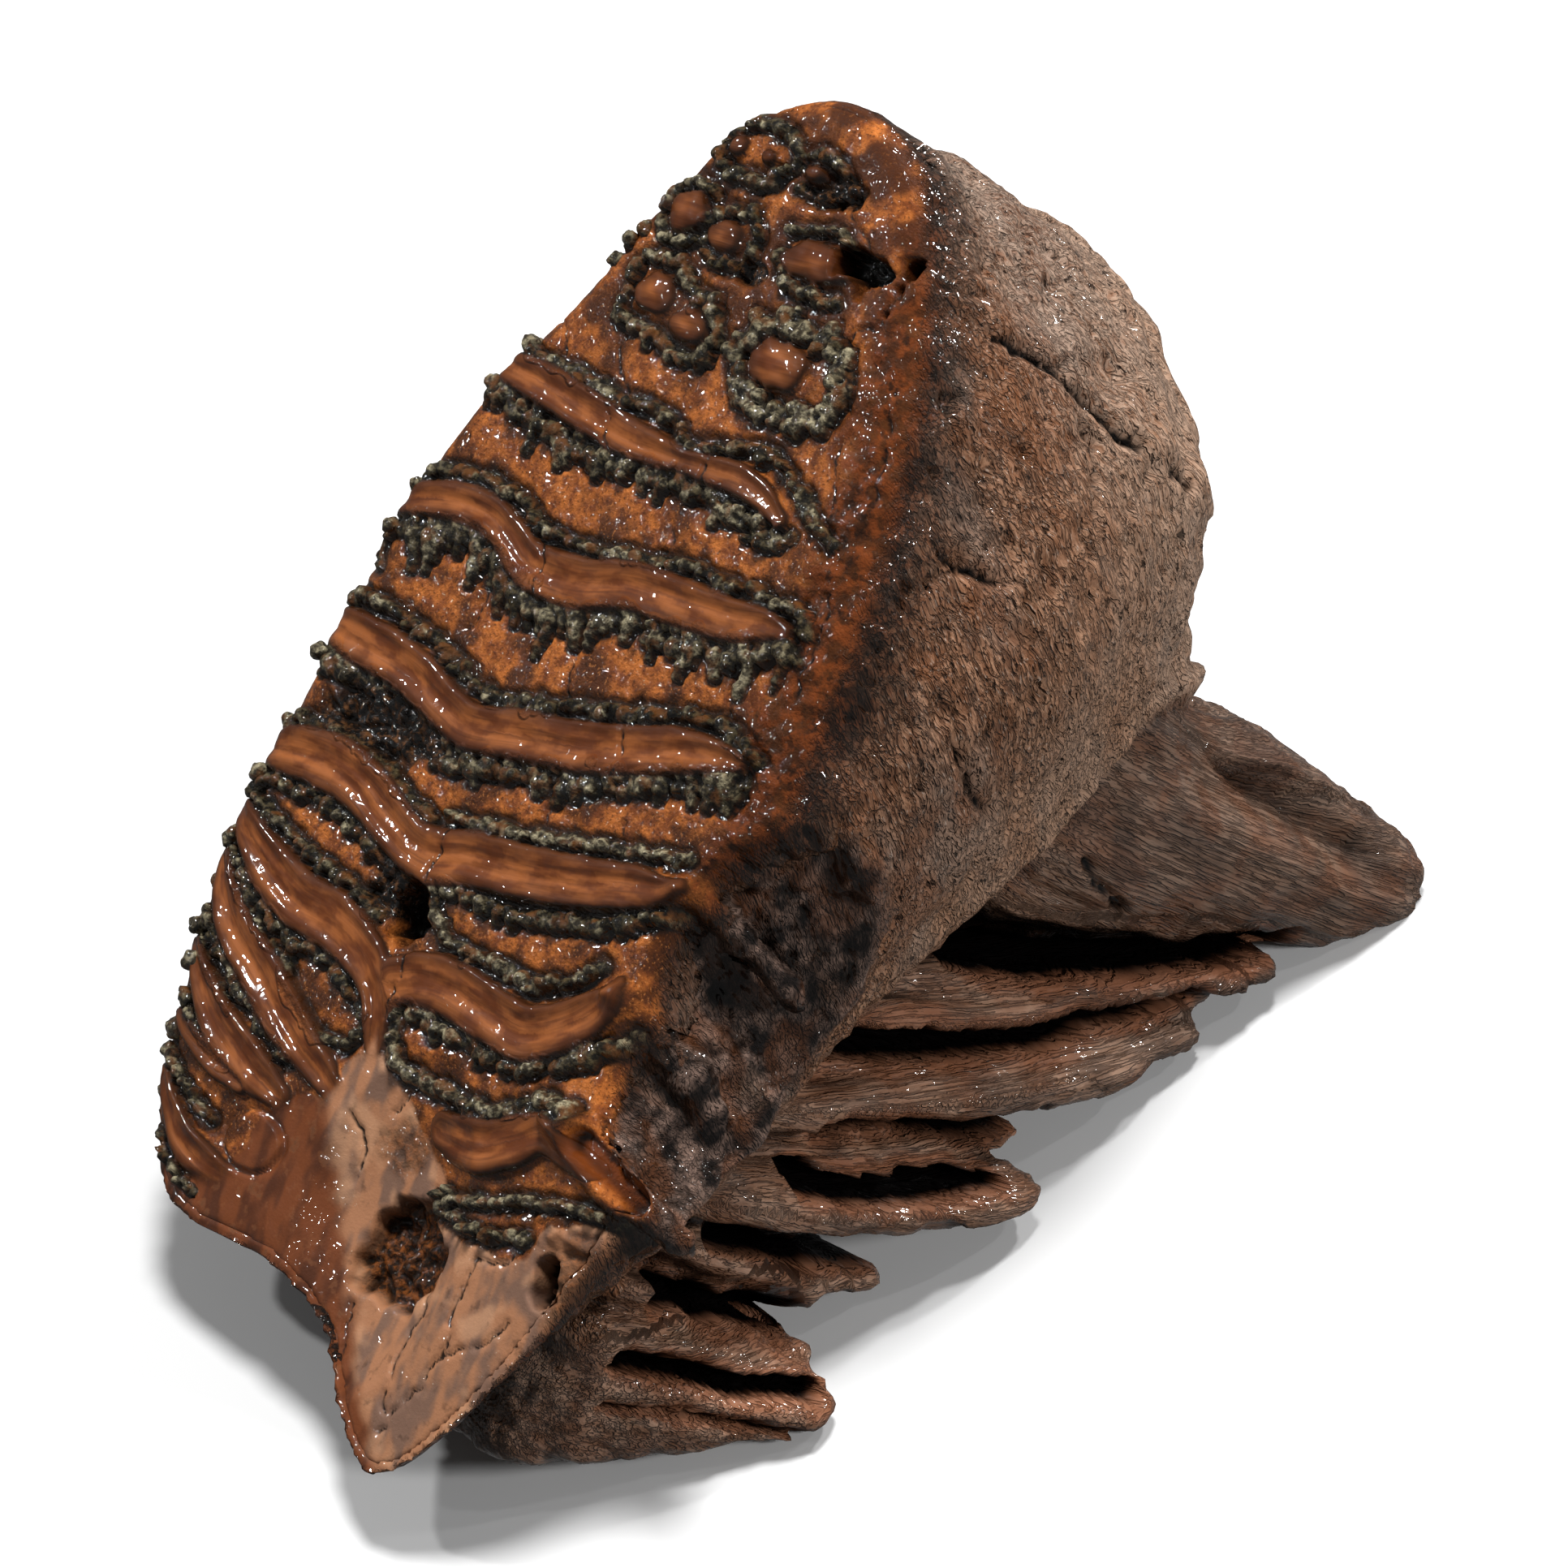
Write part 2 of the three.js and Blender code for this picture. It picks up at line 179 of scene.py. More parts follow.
def crown():
    """The crown as one closed shell, and the neck line under it as x and z."""
    edge = smooth_line(FACE_EDGE, 1.5, closed=True)
    t, s = edge.T
    tangent = np.roll(edge, -1, axis=0) - np.roll(edge, 1, axis=0)
    inward = np.stack([-tangent[:, 1], tangent[:, 0]], -1)
    inward /= np.linalg.norm(inward, axis=1)[:, None]
    at_cheek = ramp(t, -10, 25)
    behind_tip = np.clip(s / 30, 0, 1)
    roll = mix(1.2, 4.5, at_cheek) * behind_tip
    curl = mix(2.5, 9, at_cheek) * behind_tip + 0.8
    rim = on_face(t, s, -roll)
    rear = ramp(rim[:, 0], 130, FACE_REACH)
    neck_x = rim[:, 0] * 1.2 + 3 - 15 * rear
    neck_z = NECK_Z - (NECK_Z + 1) * np.exp(-neck_x / 22) - 12 * rear
    neck_z = np.minimum(neck_z, neck_x * math.tan(FACE_SLOPE) - 3.4)
    pinch = 1 - 0.14 * rim[:, 0] / FACE_REACH
    neck = np.stack([neck_x, rim[:, 1] * pinch, neck_z], -1)
    outward = np.stack([rim[:, 0] - FACE_REACH / 2, rim[:, 1], rim[:, 0] * 0], -1)
    outward /= np.linalg.norm(outward, axis=1)[:, None]
    rearward = np.maximum(0, outward[:, 0]) ** 2
    bulge = mix(6, 22, rearward) * ramp(rim[:, 0], 5, 40)
    lowness = mix(0.75, 1.15, rearward)

    def wall(down):
        swell = bulge * np.sin(np.pi * down ** lowness)
        return rim + (neck - rim) * down[:, None] + outward * swell[:, None]

    start = curl / np.linalg.norm(neck - rim, axis=1)
    flat_edge = on_face(*(edge + inward * curl[:, None]).T)
    corner = on_face(t, s)
    rows = [flat_edge * (1 - k) ** 2 + corner * 2 * k * (1 - k) + wall(start) * k * k
            for k in np.linspace(0, 1, 9)]
    rows += [wall(mix(start, 1, k)) for k in np.linspace(0, 1, 60)[1:]]
    for k in np.linspace(0, 1, 9)[1:-1]:
        under = mix(neck, CORE, k)
        under[:, 2] = mix(neck[:, 2], CORE[2], math.sqrt(k))
        rows.append(under)
    order = np.argsort(neck[:, 0])
    return shell(rows, on_face(*FACE_MIDDLE), CORE), (neck[order, 0], neck[order, 2])


def bar(path, keel, section, sizes, rings, blocks, notch=0.0):
    """A tapered bar along a path, with blunt ends. `section` is a ring of (out, aside)
    points and sizes(down) scales them; a notch draws back the middle of the end."""
    line = smooth_line(path, 0.5) if len(path) > 3 else bend(path)
    run = np.concatenate([[0], np.cumsum(np.linalg.norm(np.diff(line, axis=0), axis=1))])
    run /= run[-1]
    lead = np.gradient(line, axis=0)
    out, aside = section.T
    rows = []
    for down in np.linspace(0, 1, rings + 1)[1:-1]:
        blunt = math.sqrt(1 - abs(2 * down - 1) ** 7)
        reach = min(1, max(0, (down * blocks - 0.5) / (blocks - 1)))
        along = reach * (1 - notch * reach * (1 - (out * blunt) ** 2))
        here = np.stack([np.interp(along, run, line[:, i]) for i in range(3)], -1)
        ahead = np.stack([np.interp(along, run, lead[:, i]) for i in range(3)], -1)
        side = np.cross(keel, ahead)
        side /= np.linalg.norm(side, axis=1)[:, None]
        wide, thick = sizes(down)
        rows.append(here + keel * (out * blunt * wide)[:, None]
                    + side * (aside * blunt * thick)[:, None])
    return shell(rows, rows[0].mean(0), rows[-1].mean(0))


def bend(path, count=80):
    """Places along a curve from the first place of a path to the third, drawn to the second."""
    k = np.linspace(0, 1, count)[:, None]
    a, b, c = np.asarray(path, float)
    return a * (1 - k) ** 2 + b * 2 * k * (1 - k) + c * k * k


def round_section(sides, squareness):
    """A ring of points: round at 1, and squarer the smaller the number."""
    angle = (np.arange(sides) + 0.5) / sides * 2 * np.pi
    ring = np.stack([np.cos(angle), np.sin(angle)], -1)
    return np.sign(ring) * np.abs(ring) ** squareness


def ball(centre, radii):
    """A ball stretched along the chewing face: radii up it, across it and out of it."""
    rows = []
    turn = np.array([[math.cos(FACE_SLOPE), 0, -math.sin(FACE_SLOPE)], [0, 1, 0],
                     [math.sin(FACE_SLOPE), 0, math.cos(FACE_SLOPE)]])
    around = np.linspace(0, 2 * np.pi, 48, endpoint=False)
    for down in np.linspace(0, np.pi, 25)[1:-1]:
        ring = np.stack([np.cos(around) * math.sin(down), np.sin(around) * math.sin(down),
                         around * 0 + math.cos(down)], -1)
        rows.append((ring * radii) @ turn.T + on_face(*centre))
    poles = [(np.array([0, 0, radii[2]]) * k) @ turn.T + on_face(*centre) for k in (1, -1)]
    return shell(rows, *poles)


# Each thin root: x, cheek edge and far edge where it leaves the crown and where it ends,
# the gap under it, and its share of the full thickness.
FINS = [
    ((31, -42, 32), (67, -49, 24), 2, 1.05), ((38, -39, 34), (75, -43, 28), 4, 0.8),
    ((45, -37, 34), (87, -45, 32), 0, 0.9), ((53, -44, 34), (117, -54, 34), 0, 1.15),
    ((61, -37, 34), (126, -43, 31), 3, 0.85), ((69, -44, 34), (151, -48, 30), 2, 1.05),
    ((78, -36, 34), (163, -49, 33), 0, 0.75), ((88, -44, 34), (171, -44, 30), 2, 1.1),
    ((98, -36, 34), (182, -50, 28), 1, 0.7),
]
# Each stout root: start, end (x, y), half width and half depth at both, gap under it, sag.
STOUT_ROOTS = [
    ((22, -20, 2), (59, -24), (13, 37), (13, 7), 5, 5),
    ((144, -16, 28), (205, -37), (30, 12.5), (34, 8), -1, 4),
    ((145, 10, 28), (200, 22), (26, 13), (34, 8.5), -1, 4),
    ((146, 0, 24), (184, -6), (30, 22), (30, 9), 12, 3),
]
PLATE_ENDS = [
    [(10, 59, 0), (20, 54.5, -1), (29, 50, -5), (33, 46, -10)],
    [(13, 78, -0.5), (17, 73.5, -6), (21, 70, -12), (24, 63, -20)],
    [(17, 95, -1), (21, 92, -8), (25, 88, -15), (28, 84, -21)],
]
world_up = lying.T @ np.array([0, 0, 1.0])
level_across = -np.cross([1.0, 0, 0], world_up)
level_across /= np.linalg.norm(level_across)


def ground_z(x, y):
    """Height of the ground under a point, in the tooth's own frame."""
    foot = -SEAT @ lying
    return foot[2] - (world_up[0] * (x - foot[0]) + world_up[1] * (y - foot[1])) / world_up[2]


root_paths = []
PATH_PLACES = 60
FIN_THICKNESS = 4.25


def swept(top, end, sag):
    """A root's path, sagging between its ends; it is kept for the relief of the roots."""
    middle = (np.asarray(top, float) + end) / 2 - [0, 0, sag]
    path = np.array([top, middle, end], float)
    root_paths.append(bend(path, PATH_PLACES))
    return path


def fin(top, end, gap, share):
    thick = FIN_THICKNESS * share
    start_z = min(26, top[0] * math.tan(FACE_SLOPE) - 8)
    middle = [(edges[1] + edges[2]) / 2 for edges in (top, end)]
    wide = [(edges[2] - edges[1]) / 2 for edges in (top, end)]
    foot_z = ground_z(end[0], middle[1]) + thick / 2 + gap
    path = swept((top[0], middle[0], start_z), (end[0], middle[1], foot_z), 10)
    return bar(path, level_across, round_section(64, 0.55),
               lambda down: (mix(*wide, down), mix(1.15, 1, down) * thick), 70, 7, 0.25)


def stout_root(top, end, wide, deep, gap, sag):
    path = swept(top, (*end, ground_z(*end) + gap), sag)
    return bar(path, level_across, round_section(64, 0.8),
               lambda down: (mix(*wide, down), mix(*deep, down)), 70, 9)


def plate_end(places):
    return bar([on_face(*place) for place in places], up_face, round_section(24, 1),
               lambda down: (4.2 - 1.2 * down, 3.4 - 1.2 * down), 30, 6)


def mesh_object(name, points, faces, edges=()):
    mesh = bpy.data.meshes.new(name)
    mesh.from_pydata(np.asarray(points).tolist(), edges, faces)
    thing = bpy.data.objects.new(name, mesh)
    bpy.context.scene.collection.objects.link(thing)
    return thing


def finished(thing):
    """The object's mesh with its modifiers applied, as points and faces; it goes."""
    evaluated = thing.evaluated_get(bpy.context.evaluated_depsgraph_get())
    mesh = evaluated.to_mesh()
    points = np.empty(len(mesh.vertices) * 3)
    mesh.vertices.foreach_get("co", points)
    faces = [list(polygon.vertices) for polygon in mesh.polygons]
    evaluated.to_mesh_clear()
    bpy.data.objects.remove(thing)
    return points.reshape(-1, 3), faces


def carved(solid, cuts):
    """A solid with the cuts taken out of it."""
    whole = mesh_object("whole", *solid)
    tools = [mesh_object("cut", *cut) for cut in cuts]
    for tool in tools:
        cutter = whole.modifiers.new("cut", "BOOLEAN")
        cutter.operation = "DIFFERENCE"
        cutter.solver = "EXACT"
        cutter.object = tool
    result = finished(whole)
    for tool in tools:
        bpy.data.objects.remove(tool)
    return result


def fused(solids, voxel, rounding):
    """Overlapping solids as one skin of small faces, its corners rounded."""
    points, faces, base = [], [], 0
    for solid_points, solid_faces in solids:
        points.append(solid_points)
        faces += [[i + base for i in face] for face in solid_faces]
        base += len(solid_points)
    whole = mesh_object("fused", np.vstack(points), faces)
    remesh = whole.modifiers.new("skin", "REMESH")
    remesh.mode = "VOXEL"
    remesh.voxel_size = voxel
    rounder = whole.modifiers.new("rounding", "SMOOTH")
    rounder.factor = 0.5
    rounder.iterations = rounding
    return finished(whole)


recess_balls = [((44, 70, 4), (27, 29, 34)), ((44, 84, 4), (28, 28, 40))]
crown_solid, (neck_xs, neck_zs) = crown()
crown_solid = carved(crown_solid, [ball(centre, radii) for centre, radii in recess_balls])
parts = [crown_solid]
parts += [plate_end(places) for places in PLATE_ENDS]
parts += [fin(*values) for values in FINS]
parts += [stout_root(*values) for values in STOUT_ROOTS]
skin, skin_faces = fused(parts, 1.15, 6)
skin_faces = np.array(skin_faces)


# ------------------------------------------------------------------ chewing face
# The worn top, polished by chewing. Bands of dentine stand proud, each between two walls
# of knobbly enamel, with flat cement from plate to plate; the front is worn to a smooth
# hollow. It is one closed plate of its own, its rim sunk into the crown.
GRAIN = 0.42
OVER_FACE = 30.0
NO_SKIN = -99.0
ts = np.arange(-74, 42, GRAIN)
ss = np.arange(-5, 216, GRAIN)
T, S = np.meshgrid(ts, ss, indexing="ij")
tree = BVHTree.FromPolygons(skin.tolist(), skin_faces.tolist())
above = on_face(T, S, OVER_FACE)
level = np.full(T.shape, NO_SKIN)
for i, j in np.ndindex(T.shape):
    hit = tree.ray_cast(above[i, j].tolist(), (-up_face).tolist(), 2 * OVER_FACE)[3]
    if hit is not None:
        level[i, j] = OVER_FACE - hit
hollow = 1 - ((S - 34) / 40) ** 2 - ((T + 14) / 24) ** 2
hollow = np.where(hollow > 0, np.minimum(0, 9 - 12 * np.sqrt(np.maximum(hollow, 0))), 0)


def uneven(size, seed=0, window=slice(None)):
    """Bumps about `size` mm across on the face, or on a part of its grid."""
    flat = np.stack([T[window], S[window], 0 * T[window]], -1)
    return rough(flat.reshape(-1, 3), size, seed).reshape(flat.shape[:2])


def near(line, reach):
    """Grid window round a line of (t, s, ...) places: its slices, the distance to the
    line, the place along it and the side."""
    line = np.asarray(line, float)
    low = np.floor((line[:, :2].min(0) - reach - [ts[0], ss[0]]) / GRAIN).astype(int)
    high = np.ceil((line[:, :2].max(0) + reach - [ts[0], ss[0]]) / GRAIN).astype(int)
    low = np.maximum(low, 0)
    high = np.minimum(high, T.shape)
    window = (slice(low[0], high[0]), slice(low[1], high[1]))
    here = np.stack([T[window], S[window]], -1)
    gap = here[:, :, None] - line[None, None, :, :2]
    nearest = (gap ** 2).sum(-1).argmin(-1)
    lead = np.gradient(line[:, :2], axis=0)[nearest]
    offset = np.take_along_axis(gap, nearest[:, :, None, None], 2)[:, :, 0]
    side = np.sign(lead[..., 0] * offset[..., 1] - lead[..., 1] * offset[..., 0])
    return window, np.linalg.norm(offset, axis=-1), nearest, side


# Each band of dentine as (t, s, half width) along its middle.
BANDS = [
    [(-50, 159, 2.4), (-40, 157.5, 3.3), (-30, 155.5, 3.3), (-20, 153.5, 3.1),
     (-12, 152.7, 2.5), (-9, 152.5, 1.9), (-4, 152.4, 2.3), (3, 152.2, 2.6),
     (8, 150.8, 2.2), (12, 148.5, 1.4)],
    [(-62, 134, 2.4), (-56, 135.5, 2.8), (-48, 137, 3.2), (-40, 136.5, 3.2),
     (-35, 134.5, 3.2), (-30, 131.7, 3.8), (-20, 131, 4.2), (-10, 133, 3.8),
     (0, 133, 3.8), (10, 132.8, 3.4), (16, 133.6, 2.6), (20, 133.5, 1.4)],
    [(-64, 114, 3.4), (-55, 113, 4), (-45, 111.3, 4), (-35, 107.6, 3.6),
     (-30, 106.3, 3.8), (-20, 107.5, 4), (-10, 108.5, 4), (0, 110.5, 4),
     (10, 113, 3.6), (16, 113.8, 2.6), (20, 114, 1.4)],
    [(-67, 93.5, 3.2), (-60, 94.3, 4.2), (-52, 94.2, 4.6), (-45, 92.5, 4.5),
     (-38, 89.3, 4.2), (-32, 87, 4.2), (-28, 86.6, 4.6), (-22, 88, 4.4),
     (-12, 88.9, 4.2), (0, 90.5, 4), (10, 92.5, 3.4), (15, 93.4, 2.4), (18, 95, 1.2)],
    [(-68, 82.8, 2.6), (-62, 79.2, 3.4), (-57, 76.5, 4.2), (-50, 73.8, 4.6),
     (-42, 72.6, 4.6), (-36, 70.6, 4.2), (-31, 67.4, 3.8), (-28.5, 63.5, 3.2),
     (-27, 58, 2)],
    [(-27, 67.5, 4), (-22, 69.3, 4.2), (-16, 69.6, 4.4), (-8, 68.4, 4.4),
     (0, 67.6, 4.4), (5, 69.6, 4), (10, 73, 3.6), (13, 76.5, 2.6), (13.8, 79, 1.4)],
    [(-68, 75, 2.2), (-65, 70.8, 3), (-60, 66.2, 3.6), (-52, 61.4, 4),
     (-46, 57.6, 4.2), (-40, 54.2, 3.6), (-35, 51.6, 3), (-31, 49, 2)],
    [(-10, 50, 3), (-5, 49.8, 4), (0, 50.2, 4.2), (5, 52.6, 4), (10, 55.2, 3.2),
     (15, 54, 2.4), (20, 53, 2)],
    [(-68, 61.8, 1.6), (-64, 58, 2.6), (-58, 53.2, 3.4), (-52, 50, 3.8),
     (-46, 47.4, 3.4), (-41, 45.5, 2.4)],
    [(-66.5, 51.2, 1.2), (-60, 48.4, 1.8), (-54, 46.4, 2.2), (-48, 45, 1.6)],
    [(-65, 42.5, 1.4), (-60, 37.5, 2.4), (-56, 34.2, 3), (-50, 32, 3), (-44, 31, 2)],
]
# Worn columns near the top: (t, s) of the middle, radii across and up the face.
BUTTONS = [
    (-24.5, 187.5, 3.5, 3.1), (-16.2, 185.3, 3.1, 2.2), (-25, 175, 3.4, 3), (2, 185.3, 6, 2.8),
    (-17, 171.5, 3.3, 2.5), (1.5, 169.7, 5.2, 3.6), (-13, 198.3, 1.5, 1.1),
    (-19.5, 199, 1.6, 1.5), (-4, 197.7, 1.7, 1.1),
]
dentine = np.full(T.shape, 9.0)
along = np.zeros(T.shape)
across = np.zeros(T.shape)
plate_number = np.zeros(T.shape)
proud = np.full(T.shape, -9.0)
for number, band in enumerate(BANDS):
    line = smooth_line(band, 0.6)
    window, gap, nearest, side = near(line, 9)
    width = line[nearest, 2] * (1 + 0.07 * uneven(3.5, number, window))
    edge = gap - width
    closer = edge < dentine[window]
    share = np.clip(gap / width, 0, 1.5)
    shoulder = np.clip(-edge / 1.5, 0, 1)
    height = 0.6 + 1.1 * np.sqrt(1 - (1 - shoulder) ** 2)
    height -= 0.55 * np.exp(-((share - 0.1) / 0.42) ** 2)
    run = nearest * 0.6
    streak = np.stack([run / 16, side * gap / 1.5, run * 0 + number * 7.7], -1)
    height += 0.28 * rough(streak.reshape(-1, 3), 1).reshape(run.shape)
    for field, value in ((dentine, edge), (along, run), (across, side * gap),
                         (plate_number, number), (proud, height)):
        field[window] = np.where(closer, value, field[window])
for number, (t, s, wide, high) in enumerate(BUTTONS):
    window = near([(t - 1, s), (t + 1, s)], 11)[0]
    x = (T[window] - t) / wide
    y = (S[window] - s) / high
    radius = np.hypot(x, y) * (0.9 + 0.2 * uneven(3, number + 20, window))
    edge = (radius - 1) * min(wide, high)
    closer = edge < dentine[window]
    height = 0.3 + 1.0 * np.sqrt(np.clip(1 - radius ** 2, 0, 1))
    height += 0.25 * uneven(2, number + 30, window)
    for field, value in ((dentine, edge), (along, 3 * x), (across, 3 * y),
                         (plate_number, number + 20), (proud, height)):
        field[window] = np.where(closer, value, field[window])

# Walls of enamel: (t, s) along the crest, thickness, length of the columns that reach
# forward from it, and how pale it is.
ENAMEL = [
    ([(-51, 161.5), (-45, 161.5), (-35, 160.3), (-25, 158.7), (-14, 157.8), (-10, 155),
      (0, 156.8), (6, 156.8), (12, 154), (18, 149.5)], 2.6, 0, 0.4),
    ([(-51, 156), (-45, 153.8), (-36, 151.3), (-30, 150.2), (-20, 149.6), (-12, 149.8),
      (-8, 148.9), (0, 148.8), (5, 147.4), (10, 145.6), (14, 146.2)], 3.4, 3.6, 0.5),
    ([(-64, 137), (-57, 139), (-50, 141.2), (-40, 140.9), (-34, 139.3), (-30, 137),
      (-22, 136.2), (-10, 137.4), (0, 138), (10, 137.2), (18, 137.2), (23, 134)],
     2.7, 0, 0.3),
    ([(-64, 130.8), (-55, 131.8), (-48, 132.8), (-41, 132.6), (-36, 130.8), (-31, 127.6),
      (-24, 126.2), (-16, 126.8), (-9, 128.6), (0, 128.4), (8, 128.4), (16, 129.8),
      (22, 130.8)], 4.0, 5.6, 0.45),
    ([(-66, 117), (-60, 119.2), (-50, 118.2), (-40, 115.6), (-33, 112.6), (-26, 111.4),
      (-20, 112.2), (-10, 114.2), (0, 116), (8, 117.8), (16, 117.6), (22, 115)],
     3.0, 0, 0.22),
    ([(-66, 110.5), (-60, 109), (-50, 107.2), (-42, 105.2), (-34, 101.6), (-28, 101),
      (-20, 102.6), (-10, 103.4), (0, 105.6), (8, 108), (15, 109.6), (21, 111)],
     3.8, 3.2, 0.4),
    ([(-28, 92.6), (-20, 93.6), (-10, 94.6), (0, 96), (10, 97.8), (17, 98.4)],
     2.6, 0, 0.95),
    ([(-68, 97), (-62, 99.2), (-52, 98.8), (-44, 96.6), (-37, 93.6), (-31, 91.6)],
     2.6, 0, 0.25),
    ([(-24, 83.6), (-15, 83), (-5, 83.8), (4, 85.6), (12, 88), (18, 91)], 2.6, 1.5, 0.25),
    ([(-68, 89), (-60, 89.2), (-52, 88.4), (-45, 86.8), (-38, 83.8), (-33, 81)],
     2.6, 1.2, 0.4),
    ([(-26, 82), (-24, 78), (-20, 76), (-14, 75.2), (-5, 74.4), (0, 74.6), (5, 77),
      (9, 80)], 2.8, 0, 0.75),
    ([(-69, 87), (-62, 84), (-55, 81.8), (-48, 79.6), (-41, 78), (-35, 75.6)],
     2.4, 0, 0.4),
    ([(-69, 78.6), (-63, 74.4), (-56, 70.8), (-49, 68.2), (-42, 67.2), (-36, 65.2),
      (-32.5, 62)], 2.6, 1.2, 0.35),
    ([(-48.5, 66.5), (-47.5, 62), (-42, 57.8), (-36, 56), (-30.5, 57.2), (-30.5, 61.5)],
     2.3, 0, 0.6),
    ([(-25, 64), (-23.5, 59.5), (-21.5, 56), (-16.5, 55.4), (-8, 54.8), (-3, 54.9),
      (1, 55.6), (5, 57.6), (9, 59.6), (14, 59)], 3.2, 0, 0.8),
    ([(-22, 64.6), (-14, 64), (-6, 63), (1, 62.8), (7, 65), (12, 68.4), (17, 72)],
     2.8, 1.5, 0.5),
    ([(-69, 77.2), (-66, 74.6), (-61, 70.8), (-55, 67), (-50, 64.6)], 1.9, 0, 0.4),
    ([(-69, 67), (-64, 64), (-58, 60), (-52, 56.4), (-46, 53.2), (-41, 50.8)],
     2.4, 1.0, 0.3),
    ([(-68.5, 63.8), (-65, 61), (-60, 57.2), (-55, 54.6)], 1.8, 0, 0.6),
    ([(-67.5, 54.5), (-62, 51), (-57, 48.6), (-52, 46.6)], 2.0, 0, 0.55),
    ([(-66, 46), (-61, 42.4), (-57, 40), (-52, 38.4)], 2.2, 0, 0.7),
    ([(-63, 33.5), (-59, 31), (-55, 29), (-51, 27.6)], 1.8, 0, 0.5),
    ([(-8, 41), (0, 42.4), (6, 43.8), (12, 45.6), (20, 47), (31, 47)], 2.2, 0, 0.75),
    ([(-7, 39.6), (0, 38.6), (6, 38.8), (12, 40.4)], 2.4, 0, 0.6),
    ([(-20.6, 190.8), (-24, 192.2), (-28, 191.4), (-29.4, 187.6), (-27.8, 183.8),
      (-24, 182.8), (-20.4, 184.4)], 2.3, 0, 0.6),
    ([(-20.5, 187.6), (-17, 189.2), (-12.6, 189.6), (-10.4, 186.4), (-12, 182.2),
      (-16, 181.4), (-20, 182.6)], 2.4, 0, 0.35),
    ([(-30.5, 171), (-31.2, 175.5), (-29.6, 179.4), (-24.6, 180.6), (-20.4, 178.6),
      (-16.8, 176.2), (-12.4, 174.4), (-11.2, 170.6), (-14, 167.4), (-19, 167.2),
      (-23, 169), (-26.6, 169.4), (-30.5, 171)], 2.6, 1.6, 0.55),
    ([(-5, 188.6), (-1, 190), (4, 189.8), (8.4, 187.6)], 2.0, 0, 0.5),
    ([(-5.6, 184.6), (-3, 181.6), (2, 180.4), (7.4, 180.6)], 2.6, 0, 0.6),
    ([(-6.2, 170), (-4.8, 174.2), (0.6, 175.8), (6, 175.2), (11.6, 172.6), (14.2, 168.2),
      (12.4, 163.8), (6.6, 162.8), (0, 163.4), (-4.8, 165.8), (-6.2, 170)],
     3.4, 1.2, 0.75),
    ([(-22.6, 197.4), (-21.4, 202), (-16.4, 203), (-11, 202.2), (-8.6, 198.6),
      (-11, 195.2), (-16, 194.4), (-20.4, 195), (-22.6, 197.4)], 2.8, 0, 0.3),
    ([(-7.4, 199.6), (-4, 200.4), (0.4, 199.4), (2.2, 196.6), (-1.4, 194.8),
      (-6, 195.2)], 2.4, 0, 0.3),
    ([(-38.6, 177.6), (-37, 181.4), (-35, 184)], 4.0, 0, 0.3),
    ([(-61, 128), (-60, 124.6)], 3.4, 0, 0.3),
    ([(14, 151.5), (18, 149.6), (22, 147.2)], 2.4, 0, 0.4),
]
crust = np.full(T.shape, -9.0)
enamel = np.full(T.shape, 9.0)
paleness = np.zeros(T.shape)


def stamp(t, s, radius, top, tone):
    """One knob of enamel, pressed into the face where it stands above what is there."""
    low = np.maximum(((np.array([t, s]) - radius - [ts[0], ss[0]]) / GRAIN).astype(int), 0)
    high = ((np.array([t, s]) + radius - [ts[0], ss[0]]) / GRAIN).astype(int) + 2
    window = (slice(low[0], high[0]), slice(low[1], high[1]))
    away = np.hypot(T[window] - t, S[window] - s) / radius
    height = top - radius * 0.95 * (1 - np.sqrt(np.clip(1 - away ** 2, 0, 1)))
    higher = (away < 1) & (height > crust[window])
    crust[window] = np.where(higher, height, crust[window])
    paleness[window] = np.where(higher, tone, paleness[window])
    enamel[window] = np.minimum(enamel[window], (away - 0.92) * radius)


